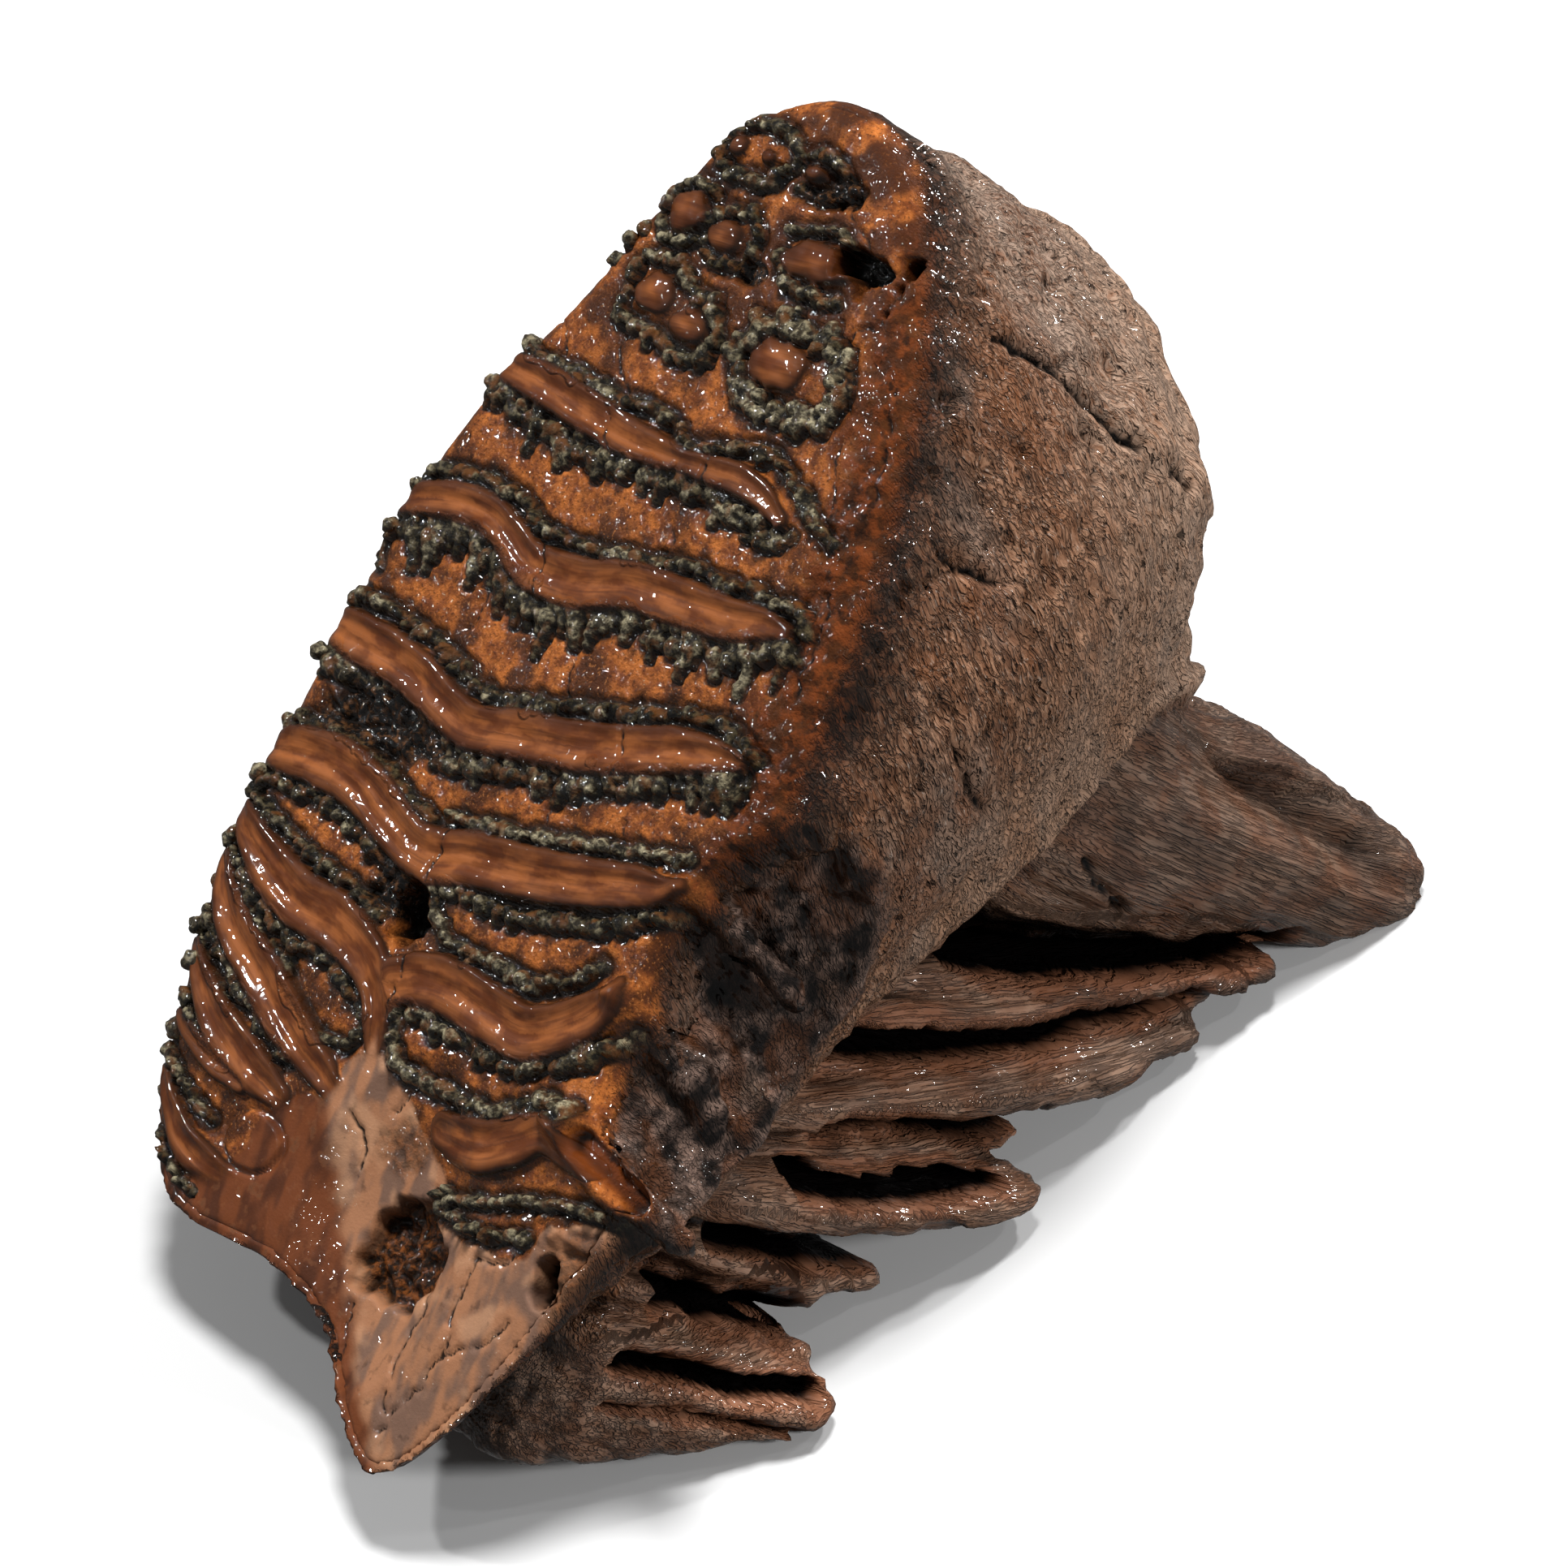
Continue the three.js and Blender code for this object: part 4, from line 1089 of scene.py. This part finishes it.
def speckle(place, size, detail, seed):
    """Uneven grey between 0 and 1, `size` mm long, one number or one for each axis."""
    size = size if isinstance(size, tuple) else (size, size, size)
    moved = node("VectorMath", stretched(place, size), (seed * 7.3, seed * 3.1, -seed * 5.7),
                 operation="ADD").outputs[0]
    made = node("TexNoise")
    put(made.inputs["Vector"], moved)
    made.inputs["Scale"].default_value = 1
    made.inputs["Detail"].default_value = detail
    made.inputs["Roughness"].default_value = 0.55
    return made.outputs["Fac"]


def paint(red, green, blue):
    """A colour from 0 to 255 as a screen shows it."""
    return tuple(((v / 255 + 0.055) / 1.055) ** 2.4 if v > 10 else v / 3294
                 for v in (red, green, blue)) + (1.0,)


def blend(a, b, share):
    """From colour a to colour b; a plain triple is a colour from 0 to 255."""
    made = nodes.new("ShaderNodeMix")
    made.data_type = "RGBA"
    put(made.inputs["Factor"], share)
    put(made.inputs[6], paint(*a) if isinstance(a, tuple) else a)
    put(made.inputs[7], paint(*b) if isinstance(b, tuple) else b)
    return made.outputs[2]


def stained(colour, *stains):
    """A colour with others over it, each as (its red, green and blue, how much of it)."""
    for stain_colour, share in stains:
        colour = blend(colour, stain_colour, share)
    return colour


def either(a, b, share):
    """From number a to number b."""
    made = nodes.new("ShaderNodeMix")
    put(made.inputs["Factor"], share)
    put(made.inputs[2], a)
    put(made.inputs[3], b)
    return made.outputs[0]


own = kept_place("own")
back, _, height_up = node("SeparateXYZ", own).outputs
to_dentine = kept_number("dentine")
to_enamel = kept_number("enamel")
deep_in = kept_number("crevice")
fine = speckle(own, 0.5, 2, 5)
mottle = speckle(own, 2.2, 3, 6)
cloud = speckle(own, 7, 2, 7)
chalk = speckle(own, 1.1, 3, 10)

# Cement of the face: orange-brown and blotched, darker at the top and at the cheek margin.
on_margin = kept_number("margin")
dark_cement = blend((88, 42, 15), (40, 19, 7), between(mottle, 0.38, 0.6))
dark_specks = between(speckle(own, 1.6, 2, 35), 0.56, 0.68, 0, 0.8)
colour = stained(
    blend((94, 47, 18), (148, 84, 36), between(mottle, 0.35, 0.7)),
    ((52, 25, 9), between(cloud, 0.46, 0.62, 0, 0.9)),
    ((34, 16, 6), between(fine, 0.55, 0.7, 0, 0.65)),
    ((176, 112, 60), between(fine, 0.3, 0.42, 0.4, 0)),
    ((20, 10, 4), between(to_enamel, 0.0, 2.0, 0.92, 0)),
    ((52, 25, 10), times(between(height_up, 84, 112, 0, 0.75), between(cloud, 0.36, 0.56))),
    (blend(dark_cement, (16, 9, 5), dark_specks), times(on_margin, 0.9)))

# The worn hollow: reddish brown, and mauve and paler at its front.
on_pale = kept_number("pale")
wash = speckle(own, (9, 4, 9), 2, 12)
reddish = stained(blend((96, 50, 24), (66, 33, 16), between(wash, 0.4, 0.64)),
                  ((124, 74, 42), between(mottle, 0.55, 0.7, 0, 0.5)))
mauve = stained(blend((142, 98, 70), (104, 78, 64), between(wash, 0.42, 0.62)),
                ((164, 122, 92), between(cloud, 0.5, 0.66, 0, 0.7)),
                ((190, 168, 148), between(fine, 0.68, 0.85, 0, 0.3)))
hollow_colour = stained(blend(reddish, mauve, on_pale),
                        ((56, 38, 28), between(mottle, 0.58, 0.74, 0, 0.5)))
in_hollow = between(kept_number("hollow"), 0.3, 0.8)
colour = blend(colour, hollow_colour, in_hollow)

# Enamel: from near black to chalky grey, rusty in places, and black in its crevices, partly as
# dirt and partly as painted shade.
enamel_dark = blend((12, 10, 7), (60, 51, 33), between(chalk, 0.4, 0.7))
enamel_pale = blend((42, 36, 26), (138, 129, 104), between(chalk, 0.4, 0.7))
enamel_colour = stained(
    blend(enamel_dark, enamel_pale, between(kept_number("paleness"), 0.1, 1.0)),
    ((78, 46, 20), between(speckle(own, 3, 2, 11), 0.48, 0.66, 0, 0.8)),
    # black in the crevices: partly dirt, partly painted shade
    ((7, 6, 5), between(deep_in, -0.1, 0.5, 0, 0.96)))
ragged = between(mottle, 0.0, 1.0, -0.35, 0.35)
is_enamel = between(sum_of(to_enamel, ragged), -0.25, 0.25, 1, 0)
colour = blend(colour, enamel_colour, is_enamel)

# Dentine: streaked along its bands and dark at their edges.
streak_place = kept_place("streak")
band_streak = speckle(streak_place, (14, 0.8, 1), 2, 8)
band_cloud = speckle(streak_place, (6, 2.2, 1), 2, 9)
dentine_colour = stained(
    blend((84, 41, 16), (130, 74, 36), between(band_cloud, 0.36, 0.66)),
    ((60, 28, 10), between(band_streak, 0.48, 0.74, 0, 0.6)),
    ((50, 23, 8), between(to_dentine, -3.0, -0.4, 0, 0.8)),
    ((24, 11, 4), between(to_dentine, -0.8, 0, 0, 0.85)))
is_dentine = times(between(sum_of(to_dentine, times(ragged, 0.4)), -0.2, 0.2, 1, 0),
                   between(kept_number("hollow"), 0.3, 0.9, 1, 0))
colour = blend(colour, dentine_colour, is_dentine)

# Rotted, broken and cracked places, crevices darkened partly as dirt and partly as painted shade,
# and holes painted near black as painted shade.
rot = kept_number("rot")
colour = stained(
    colour,
    (blend((24, 13, 6), (92, 50, 20), between(chalk, 0.42, 0.66)), rot),
    (blend((86, 40, 12), (34, 14, 5), between(cloud, 0.4, 0.6)), kept_number("socket")),
    (blend((9, 7, 6), (76, 48, 26), between(chalk, 0.45, 0.72)), kept_number("broken")),
    ((8, 5, 4), between(kept_number("crack"), 0.12, 0.4, 0.95, 0)),
    # darker in crevices: partly dirt, partly painted shade
    ((16, 9, 5), between(deep_in, 0.15, 0.8, 0, 0.9)),
    # painted shade: the deep holes near black
    ((4, 3, 2), kept_number("hole")))
inside_dentine = between(to_dentine, -0.2, 0.2, 1, 0)
crusty = greater(between(to_enamel, -0.25, 0.25, 1, 0), rot)
bumps = either(times(fine, 0.35), times(band_streak, 0.12), inside_dentine)
bumps = either(bumps, times(fine, 0.1), in_hollow)
bumps = either(bumps, times(chalk, 0.9), crusty)
lacquer = either(between(mottle, 0.35, 0.6, 0.9, 0.55), either(0.75, 0.4, on_pale), in_hollow)
lacquer = either(lacquer, 0.5, on_margin)

# Sides of the crown: polished by the chewing face, then fibrous, pitted and dull.
bowed = node("VectorMath", own, times(speckle(own, 6, 1, 15), 2.0), operation="ADD").outputs[0]
root_way = kept_place("root_place")
neck = kept_number("neck")
above_neck = sum_of(neck, 0.0, "GREATER_THAN")


def grain(side_size, root_size, detail, seed):
    """Uneven grey stretched down the crown's sides, and along the roots below the neck."""
    chosen = nodes.new("ShaderNodeMix")
    chosen.data_type = "VECTOR"
    put(chosen.inputs["Factor"], above_neck)
    put(chosen.inputs[4], stretched(root_way, root_size))
    put(chosen.inputs[5], stretched(bowed, side_size))
    return speckle(chosen.outputs[1], 1, detail, seed)


def creases(side_size, root_size, seed, wide):
    """Sharp grooves where uneven grey crosses its middle."""
    from_middle = sum_of(grain(side_size, root_size, 2, seed), 0.5, "SUBTRACT")
    return between(sum_of(from_middle, 0.0, "ABSOLUTE"), 0.0, wide, 1, 0)


fibre = grain((0.8, 0.8, 3), (20, 1.6, 1.6), 3, 1)
side_fine = grain((0.4, 0.4, 1.4), (5, 0.5, 0.5), 2, 2)
grooves = greater(creases((2.0, 2.0, 9), (30, 1.5, 1.5), 16, 0.05),
                  creases((0.9, 0.9, 3.4), (16, 0.8, 0.8), 17, 0.06))
patch = speckle(own, (9, 9, 16), 2, 3)
blotch = speckle(own, (3, 3, 5), 3, 4)
# pits: the bump sinks and the colour darkens there, partly as dirt and partly as painted shade
pits = between(speckle(own, (0.8, 0.8, 1.8), 2, 13), 0.6, 0.7)
grey = between(speckle(own, (14, 14, 40), 1, 14), 0.42, 0.62)
below_face = kept_number("below")
by_face = between(sum_of(below_face, times(patch, 16.0)), 10, 26, 1, 0)
polished = stained(blend((56, 28, 12), (26, 13, 6), between(mottle, 0.38, 0.62)),
                   ((18, 10, 5), times(grooves, 0.8)),
                   # dark pits, partly dirt and partly painted shade
                   ((12, 7, 4), times(pits, 0.8)))
side_colour = stained(
    blend((92, 62, 44), (126, 94, 73), between(fibre, 0.34, 0.66)),
    ((38, 22, 13), times(grooves, between(back, 140, 176, 0.5, 0.25))),
    ((116, 98, 86), times(grey, 0.6)),
    ((92, 54, 30), between(patch, 0.46, 0.66, 0, 0.6)),
    ((54, 40, 32), between(blotch, 0.52, 0.75, 0, 0.6)),
    ((164, 150, 138), between(side_fine, 0.58, 0.78, 0, 0.5)),
    # painted sheen: the rear of the side paler and greyer
    ((130, 113, 100), times(between(back, 150, 176, 0, 0.6), between(fibre, 0.3, 0.6))),
    # painted light: the side paler further below the chewing face
    ((152, 122, 100), between(below_face, 26, 60, 0, 0.38)),
    # dark pits, partly dirt and partly painted shade
    ((24, 15, 10), times(pits, 0.85)),
    (polished, by_face))
side_lacquer = either(between(blotch, 0.4, 0.6, 0.15, 0.5), 0.9, by_face)
side_bumps = sum_of(times(fibre, 0.35), times(side_fine, 0.6))
side_bumps = sum_of(side_bumps, times(grooves, 0.9), "SUBTRACT")
side_bumps = sum_of(side_bumps, times(pits, 0.8), "SUBTRACT")
on_side = kept_number("side")
colour = blend(colour, side_colour, on_side)
lacquer = either(lacquer, side_lacquer, on_side)
bumps = either(bumps, side_bumps, on_side)

# The torn recess: near black, partly its own dark colour and partly painted shade, with paler and
# browner patches.
torn_colour = stained(
    blend((18, 13, 11), (104, 84, 74), between(speckle(own, 3.6, 3, 24), 0.38, 0.7)),
    ((86, 50, 28), between(speckle(own, 8, 1, 25), 0.5, 0.64, 0, 0.5)))
is_torn = kept_number("torn")
colour = blend(colour, torn_colour, is_torn)
lacquer = either(lacquer, 0.6, is_torn)

# The roots: streaked along, greyer at the rear, and painted black deep in the slots between them
# as painted shade.
cut_deep = kept_number("cut")
root_colour = stained(
    blend((112, 84, 66), (138, 110, 92), between(fibre, 0.34, 0.66)),
    ((70, 58, 50), between(back, 128, 150, 0, 0.6)),
    ((36, 21, 14), times(grooves, 0.45)),
    ((84, 46, 24), between(speckle(own, 9, 2, 23), 0.42, 0.62, 0, 0.45)),
    ((52, 40, 34), between(patch, 0.5, 0.66, 0, 0.5)),
    ((40, 24, 15), between(side_fine, 0.56, 0.72, 0, 0.6)),
    ((112, 70, 48), between(cut_deep, 0.1, 1.2, 0, 0.7)))
is_root = between(neck, -1.5, 1.0, 1, 0)
colour = blend(colour, root_colour, is_root)
lacquer = either(lacquer, between(fibre, 0.35, 0.65, 0.45, 0.9), is_root)
lacquer = times(lacquer, between(cut_deep, 1.0, 3.5, 1, 0))
root_bumps = sum_of(times(fibre, 0.6), times(side_fine, 0.4))
root_bumps = sum_of(root_bumps, times(grooves, 0.8), "SUBTRACT")
bumps = either(bumps, root_bumps, is_root)
colour = blend((6, 4, 3), colour, between(kept_number("side_crack"), 0.3, 1.2))
# painted shade: near black where the skin sees little of the sky
colour = blend((7, 4, 3), colour, between(kept_number("sky_for_painted_shade"), 0.12, 0.72))
# painted shade: black deep in the slots between the roots
colour = blend(colour, (3, 2, 2), between(cut_deep, 2.0, 6.0))

# The lacquer lies smoother than what is under it, in beads and soft swellings.
swell = speckle(own, 2.4, 0, 31)
beading = between(speckle(own, 1.1, 0, 32), 0.5, 0.75)
ridges = grain((1.5, 1.5, 4.5), (6, 1.0, 1.0), 1, 33)
wet = sum_of(times(beading, 0.16), times(swell, 0.5))
for height, share in (
        (times(beading, 0.035), inside_dentine),
        (sum_of(times(beading, 0.04), times(swell, 0.7)), in_hollow),
        (times(beading, 0.22), crusty),
        (sum_of(ridges, times(swell, 0.8)), on_side),
        (times(ridges, 0.8), is_root)):
    wet = either(wet, height, share)
put(surface_shader.inputs["Base Color"], colour)
put(surface_shader.inputs["Coat Weight"], lacquer)
for name, value in (("Roughness", 0.5), ("Specular IOR Level", 0.1), ("Coat Roughness", 0.06),
                    ("Coat IOR", 1.7)):
    surface_shader.inputs[name].default_value = value
for name, height, distance in (("Normal", bumps, 0.0006), ("Coat Normal", wet, 0.001)):
    relief_node = node("Bump")
    relief_node.inputs["Distance"].default_value = distance
    put(relief_node.inputs["Height"], height)
    put(surface_shader.inputs[name], relief_node.outputs[0])


def give(thing, name, values):
    """A number, or a place, kept at each point of a mesh for its finish to read."""
    values = np.asarray(values, float)
    places = values.ndim == 2
    layer = thing.data.attributes.new(name, "FLOAT_VECTOR" if places else "FLOAT", "POINT")
    layer.data.foreach_set("vector" if places else "value", values.astype(np.float32).ravel())


def dressed(thing):
    """The object shaded smooth, in the fossil's finish alone."""
    mesh = thing.data
    mesh.polygons.foreach_set("use_smooth", np.ones(len(mesh.polygons), bool))
    mesh.materials.clear()
    mesh.materials.append(finish)
    return thing


# The face plate with its numbers; its buried rim has none of them.
face_fields = {
    "dentine": dentine, "enamel": enamel, "paleness": paleness, "crevice": crevice,
    "hollow": worn_in, "pale": pale, "socket": socket, "rot": np.maximum(pit, stain * 0.6),
    "broken": broken, "crack": crack, "hole": hole, "margin": margin,
    "side": 1 - ramp(level, -5.5, -2.0), "below": -filled,
}
FAR_FROM_CRACK = 9.0
ABOVE_NECK = 50.0
face_streak = np.stack([along, across, plate_number * 9], -1)
extra = len(face_points) - used.sum()
piece = dressed(mesh_object("chewing_face", laid_down(face_points), face_faces))
give(piece, "own", face_points)
give(piece, "streak", np.vstack([face_streak[used], np.zeros((extra, 3))]))
for name, field in face_fields.items():
    give(piece, name, np.append(field[used], np.zeros(extra)))
for name, value in (("neck", ABOVE_NECK), ("sky_for_painted_shade", 1), ("cut", 0), ("side_crack", FAR_FROM_CRACK)):
    give(piece, name, np.full(len(face_points), value))
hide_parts("tooth")
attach(piece, "root")

# The skin; where the plate lies over it, it has the plate's numbers too.
piece = dressed(mesh_object("crown_and_roots", placed, skin_faces.tolist()))
give(piece, "own", skin)
give(piece, "streak", np.stack([sampled(along, t, s), sampled(across, t, s),
                                sampled(plate_number, t, s) * 9], -1))
for name, field in face_fields.items():
    off = {"dentine": 9, "enamel": 9, "crack": FAR_FROM_CRACK, "side": 1}.get(name, 0)
    values = np.where(on_top, sampled(field, t, s), off)
    if name == "below":
        values = np.maximum(0, -h)
    give(piece, name, values)
give(piece, "neck", neck_gap + 9 * (1 - ramp(skin[:, 0], 35, 65)))
# the rear hollow takes the recess's dark finish, partly painted shade
give(piece, "torn", np.maximum(torn, 0.75 * rear_hollow))
give(piece, "side_crack", side_crack)
give(piece, "sky_for_painted_shade", mix(sky_for_painted_shade, 1, top_share))
give(piece, "cut", cut)
give(piece, "root_place", root_place)
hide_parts("tooth")
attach(piece, "root")

# ------------------------------------------------------------------ knobs of enamel
# Where a plate comes to the tongue side its two enamel walls stand out of the thin cement
# as short rows of rounded knobs, each row bending over the edge of the chewing face. The
# knobs are part of the plates and can't move.
plate_tree = BVHTree.FromPolygons(face_points.tolist(), face_faces)
knob_rows = [(s + side * (half + 1.2), reach) for (t, s, half), reach in
             [(band[0], 1.0) for band in BANDS if band[0][0] < -45] for side in (-1, 1)]
knob_rows += [(184.0, 0.7), (181.5, 1.0), (178.0, 0.8), (190.0, 0.7)]
KNOBS_SUNK = 0.2
row_places, row_edges = [], []
for s0, reach in knob_rows:
    column = np.abs(ss - s0).argmin()
    edge_t = ts[np.nonzero(filled[:, column] > -4)[0].min()]
    middle = on_face(edge_t + 9, s0, -9)
    first_turn = math.radians(38 + 10 * dice.random())
    last_turn = math.radians(72 + 30 * reach * dice.random())
    row = []
    for turn in np.linspace(first_turn, last_turn, 9):
        way = on_face(-math.sin(turn), 0, math.cos(turn)) - on_face(0, 0, 0)
        start = middle + 60 * way
        met = [surfaces.ray_cast(start.tolist(), (-way).tolist(), 70)
               for surfaces in (plate_tree, skin_tree)]
        met = [hit for hit in met if hit[0] is not None]
        if met:
            row.append(np.array(min(met, key=lambda hit: hit[3])[0]) - KNOBS_SUNK * way)
    row_edges += [(len(row_places) + k, len(row_places) + k + 1) for k in range(len(row) - 1)]
    row_places += row
rows = mesh_object("enamel_knobs", laid_down(row_places), [], row_edges)

knob_tree = bpy.data.node_groups.new("knobs along rows", "GeometryNodeTree")
for name, kind, in_out in (("Rows", "Geometry", "INPUT"), ("Spacing", "Float", "INPUT"),
                           ("Knob radius", "Float", "INPUT"), ("Smallest", "Float", "INPUT"),
                           ("Largest", "Float", "INPUT"), ("Stray", "Float", "INPUT"),
                           ("Unevenness", "Float", "INPUT"), ("Seed", "Int", "INPUT"),
                           ("Knobs", "Geometry", "OUTPUT")):
    knob_tree.interface.new_socket(name, in_out=in_out, socket_type="NodeSocket" + kind)


def step(kind, filled_in, **settings):
    """One node of the tree, its inputs filled in with links or plain values."""
    made = knob_tree.nodes.new(kind)
    for key, value in settings.items():
        setattr(made, key, value)
    for socket, value in filled_in.items():
        if isinstance(value, bpy.types.NodeSocket):
            knob_tree.links.new(value, made.inputs[socket])
        else:
            made.inputs[socket].default_value = value
    return made.outputs


def math_step(a, b, operation):
    return step("ShaderNodeMath", {0: a, 1: b}, operation=operation)[0]


def scaled(place, scale):
    return step("ShaderNodeVectorMath", {0: place, "Scale": scale}, operation="SCALE")["Vector"]


given = step("NodeGroupInput", {})
curves = step("GeometryNodeMeshToCurve", {"Mesh": given["Rows"]})["Curve"]
spaced = step("GeometryNodeResampleCurve", {"Curve": curves, "Length": given["Spacing"]},
              mode="LENGTH")["Curve"]
strays = step("FunctionNodeRandomValue", {0: (-1, -1, -1), 1: (1, 1, 1), "Seed": given["Seed"]},
              data_type="FLOAT_VECTOR")[0]
strayed = step("GeometryNodeSetPosition",
               {"Geometry": spaced, "Offset": scaled(strays, given["Stray"])})["Geometry"]
knob = step("GeometryNodeMeshIcoSphere",
            {"Radius": given["Knob radius"], "Subdivisions": 3})["Mesh"]
sizes = step("FunctionNodeRandomValue",
             {2: given["Smallest"], 3: given["Largest"], "Seed": given["Seed"]},
             data_type="FLOAT")[1]
strung = step("GeometryNodeInstanceOnPoints",
              {"Points": strayed, "Instance": knob, "Scale": sizes})["Instances"]
real = step("GeometryNodeRealizeInstances", {"Geometry": strung})["Geometry"]
lumps = step("ShaderNodeTexNoise", {"Scale": 650, "Detail": 1})["Fac"]
heaved = math_step(math_step(lumps, 0.5, "SUBTRACT"), given["Unevenness"], "MULTIPLY")
outward = scaled(step("GeometryNodeInputNormal", {})["Normal"], heaved)
uneven_knobs = step("GeometryNodeSetPosition", {"Geometry": real, "Offset": outward})["Geometry"]
painted = step("GeometryNodeSetMaterial",
               {"Geometry": uneven_knobs, "Material": finish})["Geometry"]
step("NodeGroupOutput", {"Knobs": painted})

growing = rows.modifiers.new("knobs", "NODES")
growing.node_group = knob_tree
chosen_numbers = {"Spacing": 0.0019, "Knob radius": 0.00135, "Smallest": 0.7, "Largest": 1.3,
                  "Stray": 0.0004, "Unevenness": 0.0016, "Seed": 4}
for socket in knob_tree.interface.items_tree:
    if socket.in_out == "INPUT" and socket.name in chosen_numbers:
        growing[socket.identifier] = chosen_numbers[socket.name]
grown = bpy.data.meshes.new_from_object(rows.evaluated_get(bpy.context.evaluated_depsgraph_get()))
rows.modifiers.clear()
rows.data = grown
grown.polygons.foreach_set("material_index", np.zeros(len(grown.polygons), int))
dressed(rows)
knob_points = np.empty(len(grown.vertices) * 3)
grown.vertices.foreach_get("co", knob_points)
knob_points = stood_up(knob_points.reshape(-1, 3))
give(rows, "own", knob_points)
knob_numbers = dict.fromkeys([*face_fields, "torn", "cut"], 0)
knob_numbers |= {"dentine": 9, "enamel": -1, "crack": FAR_FROM_CRACK, "sky_for_painted_shade": 1,
                 "side_crack": FAR_FROM_CRACK, "neck": ABOVE_NECK,
                 "paleness": 0.7 + 0.9 * rough(knob_points, 5, 70)}
for name, value in knob_numbers.items():
    give(rows, name, value + np.zeros(len(knob_points)))
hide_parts("tooth")
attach(rows, "root")

# ------------------------------------------------------------------ floor, light, camera
# A plain pale paper floor under soft round lamps, and a long lens above and before the
# tooth. Only the small lamps are mirrored in the lacquer, as short bright glints.
LOOK_AT = laid_down([(113.945, -19.174, 37.275)])[0]
TO_CAMERA = np.array([-0.5757, -0.5046, 0.6434])
CAMERA_DISTANCE = 0.9
LAMP_TARGET = Vector((0, 0, 0.06))
floor = mesh_object("floor", [(-3, -3, 0), (3, -3, 0), (3, 3, 0), (-3, 3, 0)], [(0, 1, 2, 3)])
paper = bpy.data.materials.new("paper")
paper.use_nodes = True
paper.node_tree.nodes["Principled BSDF"].inputs["Base Color"].default_value = (0.5, 0.5, 0.5, 1)
floor.data.materials.append(paper)
floor.visible_diffuse = False
floor.visible_glossy = False


def lamp(name, place, size, power, mirrored=True):
    """A round soft lamp; one that isn't mirrored lights without a reflection of itself."""
    data = bpy.data.lights.new(name, "AREA")
    data.shape = "DISK"
    data.size = size
    data.energy = power
    thing = bpy.data.objects.new(name, data)
    thing.location = place
    aim = LAMP_TARGET - Vector(place)
    thing.rotation_mode = "QUATERNION"
    thing.rotation_quaternion = aim.to_track_quat("-Z", "Y")
    thing.visible_glossy = mirrored
    bpy.context.scene.collection.objects.link(thing)


lamp("overhead", (0.16, 0.14, 1.5), 0.35, 38, mirrored=False)
lamp("key", (-0.5, 0.9, 1.1), 0.09, 9)
lamp("left", (-0.95, 0.35, 1.0), 0.05, 1.4)
lamp("right", (1.08, 0.0, 1.05), 0.14, 11.0)
lamp("cheek side", (0.55, -1.35, 0.55), 0.3, 26, mirrored=False)
lamp("low glint", (1.0, -0.6, 0.9), 0.06, 2.5)
world = bpy.data.worlds.new("studio")
world.use_nodes = True
world.node_tree.nodes["Background"].inputs["Color"].default_value = (1, 1, 1, 1)
world.node_tree.nodes["Background"].inputs["Strength"].default_value = 0.12
bpy.context.scene.world = world
bpy.context.scene.view_settings.view_transform = "Standard"

camera_data = bpy.data.cameras.new("camera")
camera_data.lens = 139.8
camera_data.sensor_width = 36
camera = bpy.data.objects.new("camera", camera_data)
camera.location = LOOK_AT + TO_CAMERA * CAMERA_DISTANCE
camera.rotation_mode = "QUATERNION"
camera.rotation_quaternion = Vector(-TO_CAMERA).to_track_quat("-Z", "Y")
bpy.context.scene.collection.objects.link(camera)
bpy.context.scene.camera = camera
